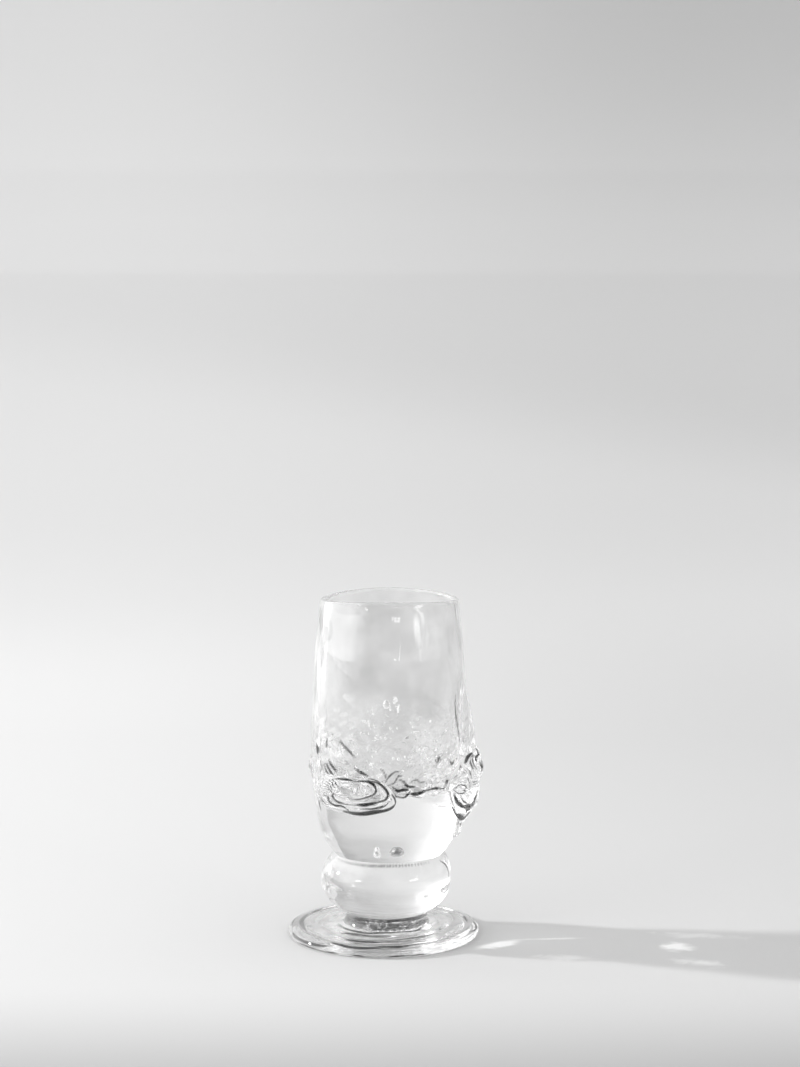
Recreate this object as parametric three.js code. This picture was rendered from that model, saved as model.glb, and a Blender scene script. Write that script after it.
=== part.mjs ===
import * as THREE from 'three';
import { mergeVertices } from 'three/addons/utils/BufferGeometryUtils.js';

// A footed drinking glass of clear hot-worked glass: a blown bowl in a thick outer gather, four lugs of
// glass drawn out round its waist, a solid knop, a short neck and a disc foot.
// Millimetres, +Z up, with the origin on the ground under the middle of the foot.
// Angles round the glass are in degrees from the front, which is -Y, and grow towards +X.

// Foot
const footRadius = 39.2;
const footRimThickness = 3.3;
const footCrownHeight = 4.9;
const footLandWidth = 4.5;
const footHollowDepth = 0.9;

// Neck
const neckRadius = 16.7;
const neckHeight = 5.2;
const neckFlare = 1.0;

// Knop
const knopRadius = 26.5;
const knopHeight = 24.1;
const knopWidestShare = 0.62;

// Outer gather, the solid glass that cups the bubble
const creaseRadius = 22.4;
const gatherHeight = 29.3;
const gatherLip = 0.9;
const gatherLipDrop = 0.5;
const gatherWave = 0.8;
const gatherWaveReach = 3.5;
const gatherWaveCount = 3;

// Bowl
const bowlHeight = 105.8;
const bellyRadius = 31.95;
const rimRadius = 28.3;
const wallThickness = 2.5;
const solidBaseThickness = 25.3;
const bubbleCornerRadius = 10.5;
const rimSaddle = 0.7;
const rimSaddleHeight = 30.0;

// The wall is drawn out above each lug
const wallDraw = 3.6;
const wallDrawHeight = 46.0;
const wallDrawWidth = 26.0;

// Lugs and the trickle below one of them
const lugHeight = 31.0;
const lugWidth = 40.0;
const lugProud = 5.2;
const trickleHeight = 7.0;
const trickleWidth = 3.6;
const trickleProud = 2.0;

// How far each part stands off the foot's axis, to the right
const neckOffset = 1.2;
const knopOffset = 0.9;
const bowlOffset = 2.2;
const rimOffset = 2.7;

// Clearance between pieces that meet on a curved face
const clearance = 0.3;

// Heights stacked up from the ground
const knopBottom = footCrownHeight + neckHeight;
const gatherBottom = knopBottom + knopHeight;
const gatherEdge = gatherBottom + gatherHeight;
const bubbleBottom = gatherBottom + solidBaseThickness - wallThickness;
const bubbleSide = bubbleBottom + bubbleCornerRadius;
const rimHeight = gatherBottom + bowlHeight;
const lipCentre = rimHeight - rimSaddle - wallThickness / 2;
const neckEndRadius = neckRadius + neckFlare;

// How finely the forms are divided
const turnSteps = 60;
const sideSteps = 12;
const arcSteps = 5;
const lugColumns = 26;
const lugRows = 14;

// Share of the way up the bubble's side, and of the way out from the rim's radius to the belly's
const bowlSideShares = [
  [0, 0.74],
  [0.12, 0.93],
  [0.243, 1],
  [0.39, 0.93],
  [0.53, 0.77],
  [0.69, 0.6],
  [0.835, 0.33],
  [1, 0],
];

// Share of the way up the gather's side, and of the way out from the crease to its widest
const gatherSideShares = [
  [0, 0],
  [0.0625, 0.17],
  [0.25, 0.55],
  [0.63, 0.83],
  [0.88, 0.97],
  [1, 1],
];

// Share of the way from a lug's top up to where its draw ends, and how far the wall is out there
const wallDrawShares = [
  [0, 1],
  [0.2, 0.72],
  [0.44, 0.17],
  [0.67, -0.18],
  [1, 0],
];

// Half of a lug's outline at its shoulder and cheek: shares of its half width and half height
const lugShoulderShares = [0.52, 0.8];
const lugWidestShare = 0.12;
const lugCheekDropShare = 0.56;

// The lugs, with their angles, and their places and sizes as shares of the common ones. level is how far
// its middle is above the gather's edge, in lug heights, and cheek is how full its lower half is.
const lugShares = [
  { name: 'prunt_right', angle: 83, level: -0.013, height: 1, width: 1, proud: 1, cheek: 0.55, draw: 1 },
  { name: 'prunt_front_left', angle: -30, level: -0.02, height: 0.5, width: 0.94, proud: 0.95, cheek: 0.82, draw: 0.6 },
  { name: 'prunt_back_left', angle: -134, level: 0.12, height: 0.7, width: 0.84, proud: 0.9, cheek: 0.7, draw: 0.5 },
  { name: 'prunt_back_right', angle: 158, level: -0.013, height: 0.74, width: 0.86, proud: 0.9, cheek: 0.65, draw: 0.5 },
];

function inRadians(degrees) {
  return THREE.MathUtils.degToRad(degrees);
}

// A smooth curve through a table of shares
function curveThrough(shares) {
  const stations = shares.map(([at]) => at);
  const values = shares.map(([, value]) => value);
  const curve = new THREE.CubicInterpolant(stations, values, 1);
  return (at) => curve.evaluate(THREE.MathUtils.clamp(at, 0, 1))[0];
}

const bowlSide = curveThrough(bowlSideShares);
const gatherSide = curveThrough(gatherSideShares);
const wallDrawn = curveThrough(wallDrawShares);

// How far the glass's middle stands from the foot's axis at a height
const knopMiddle = knopBottom + knopHeight / 2;
const offsetStations = [0, footRimThickness, footCrownHeight, knopMiddle, gatherBottom, rimHeight];
const offsets = [0, 0, neckOffset, knopOffset, bowlOffset, rimOffset];
const offsetCurve = new THREE.LinearInterpolant(offsetStations, offsets, 1);

function offsetAt(height) {
  return offsetCurve.evaluate(THREE.MathUtils.clamp(height, 0, rimHeight))[0];
}

// The bubble's outer radius: a round corner at the bottom, then the curved side
function bubbleRadius(height) {
  const sideShare = (height - bubbleSide) / (lipCentre - bubbleSide);
  const sideRadius = THREE.MathUtils.lerp(rimRadius, bellyRadius, bowlSide(sideShare));
  const drop = THREE.MathUtils.clamp(bubbleSide - height, 0, bubbleCornerRadius);
  return sideRadius - bubbleCornerRadius + Math.sqrt(bubbleCornerRadius ** 2 - drop ** 2);
}

// The gather's widest radius clears the bubble by its lip
const gatherRadius = bubbleRadius(gatherEdge) + clearance + gatherLip;

function gatherOuterRadius(height) {
  const share = (height - gatherBottom) / gatherHeight;
  return THREE.MathUtils.lerp(creaseRadius, gatherRadius, gatherSide(share));
}

// What a lug sits on: the gather's side, easing in to the bubble's above the gather's edge
function bodyRadius(height) {
  if (height <= gatherEdge) {
    return gatherOuterRadius(height);
  }
  const step = gatherRadius - bubbleRadius(gatherEdge);
  const easing = 1 - THREE.MathUtils.smoothstep(height, gatherEdge + gatherWave, gatherEdge + lugHeight / 2);
  return bubbleRadius(height) + step * easing;
}

function lugMiddle(lug) {
  return gatherEdge + lug.level * lugHeight;
}

function lugHalfHeight(lug) {
  return (lug.height * lugHeight) / 2;
}

// How far the lugs draw the wall out: most at a lug's top, and nothing at the gather's edge
function drawnOut(angle, height) {
  let sum = 0;
  for (const lug of lugShares) {
    const turn = Math.atan2(Math.sin(angle - inRadians(lug.angle)), Math.cos(angle - inRadians(lug.angle)));
    const across = (2 * turn * bellyRadius) / wallDrawWidth;
    const top = lugMiddle(lug) + lugHalfHeight(lug);
    const below = THREE.MathUtils.smoothstep(height, gatherEdge, top);
    const above = wallDrawn((height - top) / wallDrawHeight);
    sum += lug.draw * Math.exp(-across * across) * below * above;
  }
  return wallDraw * sum;
}

// Moves each vertex of a turned or unit form to where place(point) says
function reshape(geometry, place) {
  const position = geometry.getAttribute('position');
  const point = new THREE.Vector3();
  for (let index = 0; index < position.count; index += 1) {
    point.fromBufferAttribute(position, index);
    place(point);
    position.setXYZ(index, point.x, point.y, point.z);
  }
  geometry.computeVertexNormals();
  return geometry;
}

function welded(geometry) {
  geometry.deleteAttribute('normal');
  geometry.deleteAttribute('uv');
  return mergeVertices(geometry);
}

// A point of the glass from its angle, its radius and its height
function setRound(point, angle, radius, height) {
  const across = offsetAt(height) + radius * Math.sin(angle);
  return point.set(across, -radius * Math.cos(angle), height);
}

// A body turned from an outline of [radius, height] that runs up the outside, as the glass leans and swells
function turned(outline, swell = (angle, radius, height) => [radius, height]) {
  const points = outline.map(([radius, height]) => new THREE.Vector2(radius, height));
  const geometry = welded(new THREE.LatheGeometry(points, turnSteps).rotateX(Math.PI / 2));
  return reshape(geometry, (point) => {
    const angle = Math.atan2(point.x, -point.y);
    const [radius, height] = swell(angle, Math.hypot(point.x, point.y), point.z);
    setRound(point, angle, radius, height);
  });
}

// Points of an arc in an outline, from one angle to another round its middle
function arc(middleRadius, middleHeight, radius, from, to, steps = arcSteps) {
  return Array.from({ length: steps + 1 }, (_, step) => {
    const angle = inRadians(THREE.MathUtils.lerp(from, to, step / steps));
    return [middleRadius + radius * Math.cos(angle), middleHeight + radius * Math.sin(angle)];
  });
}

// Points of an outline between two heights, both ends included, with the radius from a function
function side(from, to, radiusAt, steps = sideSteps) {
  return Array.from({ length: steps + 1 }, (_, step) => {
    const height = THREE.MathUtils.lerp(from, to, step / steps);
    return [radiusAt(height), height];
  });
}

function makeFoot() {
  const rimRound = footRimThickness / 2;
  const rimMiddle = footRadius - rimRound;
  const landInner = rimMiddle - footLandWidth;
  const hollow = (height) => landInner * Math.sqrt(1 - height / footHollowDepth);
  const crownRise = footCrownHeight - footRimThickness;
  const top = (height) => {
    const fall = Math.sqrt((footCrownHeight - height) / crownRise);
    return THREE.MathUtils.lerp(neckEndRadius, rimMiddle, fall);
  };
  const outline = [
    ...side(footHollowDepth, 0, hollow, arcSteps),
    ...arc(rimMiddle, rimRound, rimRound, -90, 90, arcSteps + 1),
    ...side(footRimThickness, footCrownHeight, top, arcSteps).slice(1),
    [0, footCrownHeight],
  ];
  return turned(outline);
}

function makeNeck() {
  const radiusAt = (height) => {
    const fromMiddle = (2 * (height - footCrownHeight)) / neckHeight - 1;
    return neckRadius + neckFlare * fromMiddle ** 2;
  };
  return turned([[0, footCrownHeight], ...side(footCrownHeight, knopBottom, radiusAt, arcSteps), [0, knopBottom]]);
}

function makeKnop() {
  const widestHeight = THREE.MathUtils.lerp(knopBottom, gatherBottom, knopWidestShare);
  const radiusAt = (height) => {
    const below = height < widestHeight;
    const endRadius = below ? neckEndRadius : creaseRadius;
    const reach = below ? widestHeight - knopBottom : gatherBottom - widestHeight;
    return knopRadius - (knopRadius - endRadius) * ((height - widestHeight) / reach) ** 2;
  };
  return turned([
    [0, knopBottom],
    ...side(knopBottom, widestHeight, radiusAt, sideSteps / 2),
    ...side(widestHeight, gatherBottom, radiusAt, sideSteps / 2).slice(1),
    [0, gatherBottom],
  ]);
}

function makeGather() {
  const cupCorner = bubbleCornerRadius + clearance;
  const cupMiddle = bubbleRadius(bubbleSide) - bubbleCornerRadius;
  const edgeAngle = THREE.MathUtils.radToDeg(Math.asin((bubbleSide - gatherEdge) / cupCorner));
  const outline = [
    [0, gatherBottom],
    ...side(gatherBottom, gatherEdge - gatherLipDrop, gatherOuterRadius),
    ...arc(cupMiddle, bubbleSide, cupCorner, -edgeAngle, -90),
    [0, bubbleBottom - clearance],
  ];
  return turned(outline, (angle, radius, height) => {
    const nearEdge = THREE.MathUtils.smoothstep(height, gatherEdge - gatherWaveReach, gatherEdge);
    const waved = height + gatherWave * Math.sin(gatherWaveCount * angle) * nearEdge;
    return [radius + bubbleRadius(waved) - bubbleRadius(height) + drawnOut(angle, waved), waved];
  });
}

function makeBowl() {
  const corner = bubbleRadius(bubbleSide) - bubbleCornerRadius;
  const innerCorner = bubbleCornerRadius - wallThickness;
  const outline = [
    [0, bubbleBottom],
    ...arc(corner, bubbleSide, bubbleCornerRadius, -90, 0),
    ...side(bubbleSide, lipCentre, bubbleRadius).slice(1),
    ...arc(rimRadius - wallThickness / 2, lipCentre, wallThickness / 2, 0, 180).slice(1, -1),
    ...side(lipCentre, bubbleSide, (height) => bubbleRadius(height) - wallThickness),
    ...arc(corner, bubbleSide, innerCorner, 0, -90, arcSteps - 1).slice(1),
    [0, bubbleBottom + wallThickness],
  ];
  return turned(outline, (angle, radius, height) => {
    const nearRim = THREE.MathUtils.smoothstep(height, rimHeight - rimSaddleHeight, rimHeight);
    return [radius + drawnOut(angle, height), height + rimSaddle * Math.cos(2 * angle) * nearRim];
  });
}

// A lump of glass laid on the glass's side: a unit ball whose lower half lies on the side, with a clearance,
// and whose upper half stands proud of it. outline gives its edge as [side, up] in millimetres.
function laidOn(middleAngle, middleHeight, outline, proud) {
  const points = outline.map(([across, up]) => new THREE.Vector3(across, up, 0));
  const edge = new THREE.CatmullRomCurve3(points, true);
  const ball = welded(new THREE.SphereGeometry(1, lugColumns, lugRows));
  const edgePoint = new THREE.Vector3();
  return reshape(ball, (point) => {
    const reach = Math.hypot(point.x, point.z);
    const round = THREE.MathUtils.euclideanModulo(Math.atan2(point.z, point.x) / (2 * Math.PI), 1);
    edge.getPoint(round, edgePoint).multiplyScalar(reach);
    const height = middleHeight + edgePoint.y;
    const angle = middleAngle + edgePoint.x / bellyRadius;
    const stand = clearance + proud * Math.max(point.y, 0);
    setRound(point, angle, bodyRadius(height) + drawnOut(angle, height) + stand, height);
  });
}

function makeLug(lug) {
  const tall = lugHalfHeight(lug);
  const wide = (lug.width * lugWidth) / 2;
  const [shoulderAcross, shoulderUp] = lugShoulderShares;
  const half = [
    [shoulderAcross * wide, shoulderUp * tall],
    [wide, lugWidestShare * tall],
    [lug.cheek * wide, -lugCheekDropShare * tall],
  ];
  const mirrored = half.map(([across, up]) => [-across, up]).reverse();
  const outline = [[0, tall], ...half, [0, -tall], ...mirrored];
  return laidOn(inRadians(lug.angle), lugMiddle(lug), outline, lug.proud * lugProud);
}

// The trickle hangs just below its lug
function makeTrickle(lug) {
  const tall = trickleHeight / 2;
  const wide = trickleWidth / 2;
  const middle = lugMiddle(lug) - lugHalfHeight(lug) - clearance - tall;
  const outline = [
    [0, tall],
    [wide, 0],
    [0, -tall],
    [-wide, 0],
  ];
  return laidOn(inRadians(lug.angle), middle, outline, trickleProud);
}

// Clear glass: how much of it shows, and how rough its smoothest and its worked faces are
const glassOpacity = 0.4;
const smoothGlass = 0.02;
const workedGlass = 0.04;

function clearGlass(colour, roughness) {
  const look = { color: colour, roughness, metalness: 0, transparent: true, opacity: glassOpacity };
  return new THREE.MeshStandardMaterial(look);
}

function piece(name, geometry, colour, roughness = workedGlass) {
  const mesh = new THREE.Mesh(geometry, clearGlass(colour, roughness));
  mesh.name = name;
  return mesh;
}

function makeStem() {
  const stem = new THREE.Group();
  stem.add(piece('foot', makeFoot(), 0xe4e9e9));
  stem.add(piece('neck', makeNeck(), 0xe6ebea));
  stem.add(piece('knop', makeKnop(), 0xe8eceb, smoothGlass));
  return stem;
}

function makeVessel() {
  const vessel = new THREE.Group();
  vessel.add(piece('base_gather', makeGather(), 0xe7ebeb, smoothGlass));
  vessel.add(piece('bowl', makeBowl(), 0xebeeee, smoothGlass));
  return vessel;
}

function makeLugs() {
  const waist = new THREE.Group();
  for (const lug of lugShares) {
    waist.add(piece(lug.name, makeLug(lug), 0xe2e7e7));
  }
  waist.add(piece('trickle', makeTrickle(lugShares[0]), 0xe1e6e6));
  return waist;
}

const glass = new THREE.Group();
glass.add(makeStem(), makeVessel(), makeLugs());

export default glass;
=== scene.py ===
import bpy
import numpy as np
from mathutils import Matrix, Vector


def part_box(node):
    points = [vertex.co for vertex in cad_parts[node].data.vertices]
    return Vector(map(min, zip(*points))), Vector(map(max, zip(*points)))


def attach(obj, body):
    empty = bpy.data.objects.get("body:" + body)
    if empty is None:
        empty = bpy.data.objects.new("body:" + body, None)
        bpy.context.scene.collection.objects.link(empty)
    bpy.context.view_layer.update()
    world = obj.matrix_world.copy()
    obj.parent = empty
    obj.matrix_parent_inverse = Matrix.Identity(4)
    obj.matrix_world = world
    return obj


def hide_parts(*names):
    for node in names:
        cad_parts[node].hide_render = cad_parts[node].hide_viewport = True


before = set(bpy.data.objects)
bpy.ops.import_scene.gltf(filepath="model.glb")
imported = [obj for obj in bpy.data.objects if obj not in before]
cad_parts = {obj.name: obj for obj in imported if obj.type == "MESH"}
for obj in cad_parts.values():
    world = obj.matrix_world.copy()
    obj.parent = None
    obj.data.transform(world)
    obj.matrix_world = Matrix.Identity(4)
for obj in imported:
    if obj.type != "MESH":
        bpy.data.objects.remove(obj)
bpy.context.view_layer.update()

# A footed glass of clear hot-worked glass. Its forms are worked out in millimetres and laid down in metres.
# Angles round the glass start at the front, which is -Y, and grow towards +X.
mm = 0.001
fullTurn = 2 * np.pi


def boxOf(node):
    low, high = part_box(node)
    return np.array(low) / mm, np.array(high) / mm


footLow, footHigh = boxOf("foot")
footRadius = (footHigh[1] - footLow[1]) / 2
footTop, neckTop, knopTop, rimTop = (boxOf(node)[1][2] for node in ("foot", "neck", "knop", "bowl"))

# helpers for shapes


def curveThrough(shares):
    # a smooth curve through a table of [place, value]
    at, value = np.array(shares, float).T
    slope = np.gradient(value, at)
    slope[1:-1] = (value[2:] - value[:-2]) / (at[2:] - at[:-2])

    def curve(where):
        where = np.clip(where, at[0], at[-1])
        k = np.clip(np.searchsorted(at, where, side="right") - 1, 0, len(at) - 2)
        width = at[k + 1] - at[k]
        f = (where - at[k]) / width
        return (value[k] * (1 + 2 * f) * (1 - f) ** 2 + slope[k] * width * f * (1 - f) ** 2
                + value[k + 1] * f * f * (3 - 2 * f) + slope[k + 1] * width * f * f * (f - 1))
    return curve


def ease(value, low, high):
    share = np.clip((value - low) / (high - low), 0, 1)
    return share * share * (3 - 2 * share)


def bump(value, middle, width):
    return np.exp(-((value - middle) / width) ** 2)


def atLeast(least, share):
    # lifts a share from 0 to 1 so that it starts at the least one
    return least + (1 - least) * share


def waver(angle, height, seed, cycles, pitch, count=9):
    # the smooth unevenness of hand-worked glass, closed after a full turn, about 1 high
    draw = np.random.default_rng(seed)
    total = np.zeros(np.broadcast(angle, height).shape)
    for _ in range(count):
        around = draw.integers(0, cycles + 1)
        up = draw.normal(0, 1) / pitch
        total += np.sin(around * angle + up * height * fullTurn + draw.uniform(0, fullTurn))
    return total / np.sqrt(count / 2)


# how far the middle of the glass stands to the right of the foot's axis, from the foot up to the rim
leanHeights = [0, 3.3, footTop, (neckTop + knopTop) / 2, knopTop, rimTop]
leans = [0, 0, 1.2, 0.9, 2.2, 2.7]


def leanAt(height):
    return np.interp(height, leanHeights, leans)


def roundPoint(angle, radius, height):
    across, back = radius * np.sin(angle), -radius * np.cos(angle)
    return np.stack([leanAt(height) + across, back, height + 0 * angle], -1)


def between(a, b, c, d, share):
    # a smooth way from b to c, with a before it and d after it
    return 0.5 * (2 * b + (c - a) * share + (2 * a - 5 * b + 4 * c - d) * share ** 2
                  + (3 * b - a - 3 * c + d) * share ** 3)


def smoothLine(points, steps=12):
    points = np.array(points, float)
    ends = np.concatenate([[2 * points[0] - points[1]], points, [2 * points[-1] - points[-2]]])
    share = np.linspace(0, 1, steps, endpoint=False)[:, None]
    line = [between(*four, share) for four in zip(ends, ends[1:], ends[2:], ends[3:])]
    return np.concatenate(line + [points[-1:]])


# helpers for meshes


def bringIn(name, data):
    thing = bpy.data.objects.new(name, data)
    bpy.context.scene.collection.objects.link(thing)
    return thing


def pointsOf(piece):
    # a piece's points in metres, one in each row
    points = np.zeros(len(piece.data.vertices) * 3)
    piece.data.vertices.foreach_get("co", points)
    return points.reshape(-1, 3)


def showSharp(mesh):
    # an edge is sharp where clear glass meets a hot join
    def read(holder, key):
        values = np.zeros(len(holder), np.int32)
        holder.foreach_get(key, values)
        return values

    slots = np.repeat(read(mesh.polygons, "material_index"), read(mesh.polygons, "loop_total"))
    edgeOf = read(mesh.loops, "edge_index")
    least = np.full(len(mesh.edges), 99)
    most = np.full(len(mesh.edges), -1)
    np.minimum.at(least, edgeOf, slots)
    np.maximum.at(most, edgeOf, slots)
    mesh.edges.foreach_set("use_edge_sharp", least != most)


def addPiece(name, points, faces, slots, materials):
    # points in millimetres; faces as rows of three or four indices
    mesh = bpy.data.meshes.new(name)
    mesh.from_pydata((points * mm).tolist(), [], faces)
    for material in materials:
        mesh.materials.append(material)
    mesh.polygons.foreach_set("material_index", np.array(slots, np.int32))
    mesh.shade_smooth()
    showSharp(mesh)
    mesh.update()
    mesh.validate()
    return bringIn(name, mesh)


# folds are written as their width, their painted shade, and the points of a line; they are slimmer at their
# ends
foldEdge = {"slim": 0.45, "even": 0.25, "soft": (0.4, 1.2)}


def foldShade(folds, side, up):
    # how deep in a fold each place lies, from 0 to 1; folds thin out towards their ends
    side, up = np.broadcast_arrays(side, up)
    deepest = np.zeros(side.shape)
    for wide, shade, *points in folds:
        line = smoothLine(points)
        full = np.sin(np.pi * np.linspace(0.02, 0.98, len(line)))
        widths = wide * atLeast(foldEdge["slim"], full)
        for (x, y), width, dark in zip(line, widths, shade * full ** foldEdge["even"]):
            away = np.hypot(side - x, up - y) / width
            deepest = np.maximum(deepest, dark * (1 - ease(away, *foldEdge["soft"])))
    return deepest


def roundShade(folds, radius, x, y, z):
    # the same for folds that are given in degrees round the glass and millimetres up
    laid = [(wide, shade, *[(np.radians(angle) * radius, up) for angle, up in points])
            for wide, shade, *points in folds]
    return foldShade(laid, np.arctan2(x, -y) * radius, z)


def keepPaintedShade(piece, shade):
    # keeps painted shade as the fold attribute, which darkens the glass colour
    held = piece.data.attributes.new("fold", "FLOAT", "POINT")
    held.data.foreach_set("value", np.clip(shade, 0, 1).ravel().astype(np.float32))


def settle(piece, node):
    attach(piece, "root")
    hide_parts(node)
    print("made", piece.name, "with", len(piece.data.polygons), "faces")


def turnedFaces(rows, columns):
    # quads between rows of points that run up the outside; the first and last rows are single points
    k, i = np.meshgrid(np.arange(rows - 1), np.arange(columns), indexing="ij")
    j = (i + 1) % columns
    quads = np.stack([k * columns + i, k * columns + j, (k + 1) * columns + j, (k + 1) * columns + i], -1)
    quads = quads.reshape(-1, 4)
    low, high = rows * columns, rows * columns + 1
    ring = np.arange(columns)
    after = (ring + 1) % columns
    bottom = np.stack([np.full(columns, low), after, ring], -1)
    last = (rows - 1) * columns
    top = np.stack([last + ring, last + after, np.full(columns, high)], -1)
    return quads, bottom, top


def turnedPiece(name, points, joined, poles, materials, order=1):
    # points[row, column] in millimetres, joined[row, column] for the quads above each row, and poles at the
    # axis; the order -1 turns the faces over
    rows, columns = points.shape[:2]
    flat = np.concatenate([points.reshape(-1, 3), poles])
    slots = np.concatenate([joined[:-1].ravel(), np.repeat(joined[[0, -1], 0], columns)])
    faces = [face[::order] for part in turnedFaces(rows, columns) for face in part.tolist()]
    return addPiece(name, flat, faces, slots, materials)


# materials

glassLook = {"ior": 1.5, "paintedShadeTint": 0.004, "paintedShadeCurve": 3.5, "relief": 0.0001}
airLook = {"rim": 0.45, "paintedGlow": 1.15, "roughness": 0.01}


def grey(level):
    return level, level, level, 1


def setInputs(node, values):
    # each input takes a plain value, or a link from another node
    for key, value in values.items():
        if isinstance(value, bpy.types.NodeSocket):
            node.id_data.links.new(value, node.inputs[key])
        else:
            node.inputs[key].default_value = value


def newNode(tree, kind, values={}, **properties):
    node = tree.nodes.new(kind)
    for key, value in properties.items():
        setattr(node, key, value)
    setInputs(node, values)
    return node


def outOf(*form, **properties):
    # the first output of a new node
    return newNode(*form, **properties).outputs[0]


def mathsNode(tree, operation, first, second=0.0):
    return outOf(tree, "ShaderNodeMath", {0: first, 1: second}, operation=operation)


def sumsOf(tree, *operations):
    # short names for the sums of one tree; the last one takes any sum by its name
    def sumOf(*operation):
        return lambda *values: mathsNode(tree, *operation, *values)

    return *[sumOf(operation) for operation in operations], sumOf()


def dotNode(tree, way, axis):
    return newNode(tree, "ShaderNodeVectorMath", {0: way, 1: axis}, operation="DOT_PRODUCT").outputs["Value"]


def mixed(tree, share, first, second):
    return outOf(tree, "ShaderNodeMix", {0: share, 2: first, 3: second}, data_type="FLOAT")


def mixedColour(tree, share, first, second):
    return newNode(tree, "ShaderNodeMix", {0: share, 6: first, 7: second}, data_type="RGBA").outputs[2]


def spanned(tree, value, low, high, fromShade, toShade):
    return outOf(tree, "ShaderNodeMapRange", {
        "Value": value, "From Min": low, "From Max": high, "To Min": fromShade, "To Max": toShade},
        interpolation_type="SMOOTHSTEP")


def addSockets(tree, way, sockets):
    # a tree's inputs or outputs, each with its kind and perhaps a default
    for name, kind, *default in sockets:
        socket = tree.interface.new_socket(name, in_out=way, socket_type="NodeSocket" + kind)
        if default:
            socket.default_value = default[0]


def makeWorkedGlass():
    # striae, smudges and faint marks of the tools, shared by every bit of glass
    group = bpy.data.node_groups.new("workedGlass", "ShaderNodeTree")
    addSockets(group, "INPUT", [
        ("Striae Pitch", "Float", 90.0), ("Striae Depth", "Float", 0.4), ("Smudge Pitch", "Float", 45.0),
        ("Least Roughness", "Float", 0.0), ("Most Roughness", "Float", 0.03),
        ("Deep Tint", "Color", grey(0.96)), ("Clear Tint", "Color", grey(0.99))])
    addSockets(group, "OUTPUT", [("Colour", "Color"), ("Roughness", "Float"), ("Height", "Float")])
    entry = newNode(group, "NodeGroupInput").outputs
    place = newNode(group, "ShaderNodeTexCoord").outputs["Object"]
    drawn = outOf(group, "ShaderNodeMapping", {"Vector": place, "Scale": (1, 1, 0.35)})
    striae = newNode(group, "ShaderNodeTexNoise", {
        "Vector": drawn, "Scale": entry["Striae Pitch"], "Detail": 2.0, "Roughness": 0.4,
        "Distortion": 0.6}).outputs["Fac"]
    smudge = newNode(group, "ShaderNodeTexNoise", {
        "Vector": place, "Scale": entry["Smudge Pitch"], "Detail": 4.0, "Roughness": 0.55}).outputs["Fac"]
    rough = newNode(group, "ShaderNodeMapRange", {
        "Value": smudge, "From Min": 0.45, "From Max": 0.75,
        "To Min": entry["Least Roughness"], "To Max": entry["Most Roughness"]}).outputs["Result"]
    patchy = newNode(group, "ShaderNodeMapRange", {
        "Value": smudge, "From Min": 0.35, "From Max": 0.65}).outputs["Result"]
    newNode(group, "NodeGroupOutput", {
        "Colour": mixedColour(group, patchy, entry["Deep Tint"], entry["Clear Tint"]),
        "Roughness": rough,
        "Height": mathsNode(group, "MULTIPLY", striae, entry["Striae Depth"])})
    return group


workedGlass = makeWorkedGlass()


def newMaterial(name):
    material = bpy.data.materials.new(name)
    material.use_nodes = True
    return material, material.node_tree


def clearGlass(name, striaePitch, striaeDepth, smudgePitch, roughness, deep, clear):
    material, tree = newMaterial(name)
    marks = newNode(tree, "ShaderNodeGroup", {
        "Striae Pitch": striaePitch, "Striae Depth": striaeDepth, "Smudge Pitch": smudgePitch,
        "Most Roughness": roughness, "Deep Tint": grey(deep), "Clear Tint": grey(clear)},
        node_tree=workedGlass).outputs
    relief = newNode(tree, "ShaderNodeBump", {
        "Height": marks["Height"], "Strength": 1.0, "Distance": glassLook["relief"]}).outputs["Normal"]
    # painted shade: where the fold attribute is high, the glass colour is painted dark and lets little light
    # through
    fold = newNode(tree, "ShaderNodeAttribute", attribute_name="fold").outputs["Fac"]
    through = mathsNode(tree, "POWER", mathsNode(tree, "SUBTRACT", 1.0, fold), glassLook["paintedShadeCurve"])
    dark = mathsNode(tree, "SUBTRACT", 1.0, through)
    setInputs(tree.nodes["Principled BSDF"], {
        "Base Color": mixedColour(tree, dark, marks["Colour"], grey(glassLook["paintedShadeTint"])),
        "Roughness": marks["Roughness"], "Normal": relief,
        "Transmission Weight": 1.0, "IOR": glassLook["ior"]})
    return material


def hotJoin():
    # where two bits of glass fused there is no surface left to see
    material, tree = newMaterial("hot join")
    tree.nodes.clear()
    clear = outOf(tree, "ShaderNodeBsdfTransparent")
    newNode(tree, "ShaderNodeOutputMaterial", {"Surface": clear})
    return material


def trappedAir(name, paintedGlowShare, deep):
    # the wall of a bubble, seen from within the glass
    material, tree = newMaterial(name)
    tree.nodes.clear()
    marks = newNode(tree, "ShaderNodeGroup", {
        "Most Roughness": airLook["roughness"], "Deep Tint": grey(deep)}, node_tree=workedGlass).outputs
    clear = outOf(tree, "ShaderNodeBsdfGlass", {
        "Color": marks["Colour"], "Roughness": marks["Roughness"], "IOR": 1 / glassLook["ior"]})
    # painted highlight: its edge, as seen, glows with its own light in place of the window light it would
    # catch
    edge = newNode(tree, "ShaderNodeLayerWeight", {"Blend": airLook["rim"]}).outputs["Facing"]
    paintedGlow = outOf(tree, "ShaderNodeEmission", {
        "Color": marks["Colour"], "Strength": airLook["paintedGlow"]})
    both = outOf(tree, "ShaderNodeMixShader", {
        0: mathsNode(tree, "MULTIPLY", edge, paintedGlowShare), 1: clear, 2: paintedGlow})
    newNode(tree, "ShaderNodeOutputMaterial", {"Surface": both})
    return material


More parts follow.
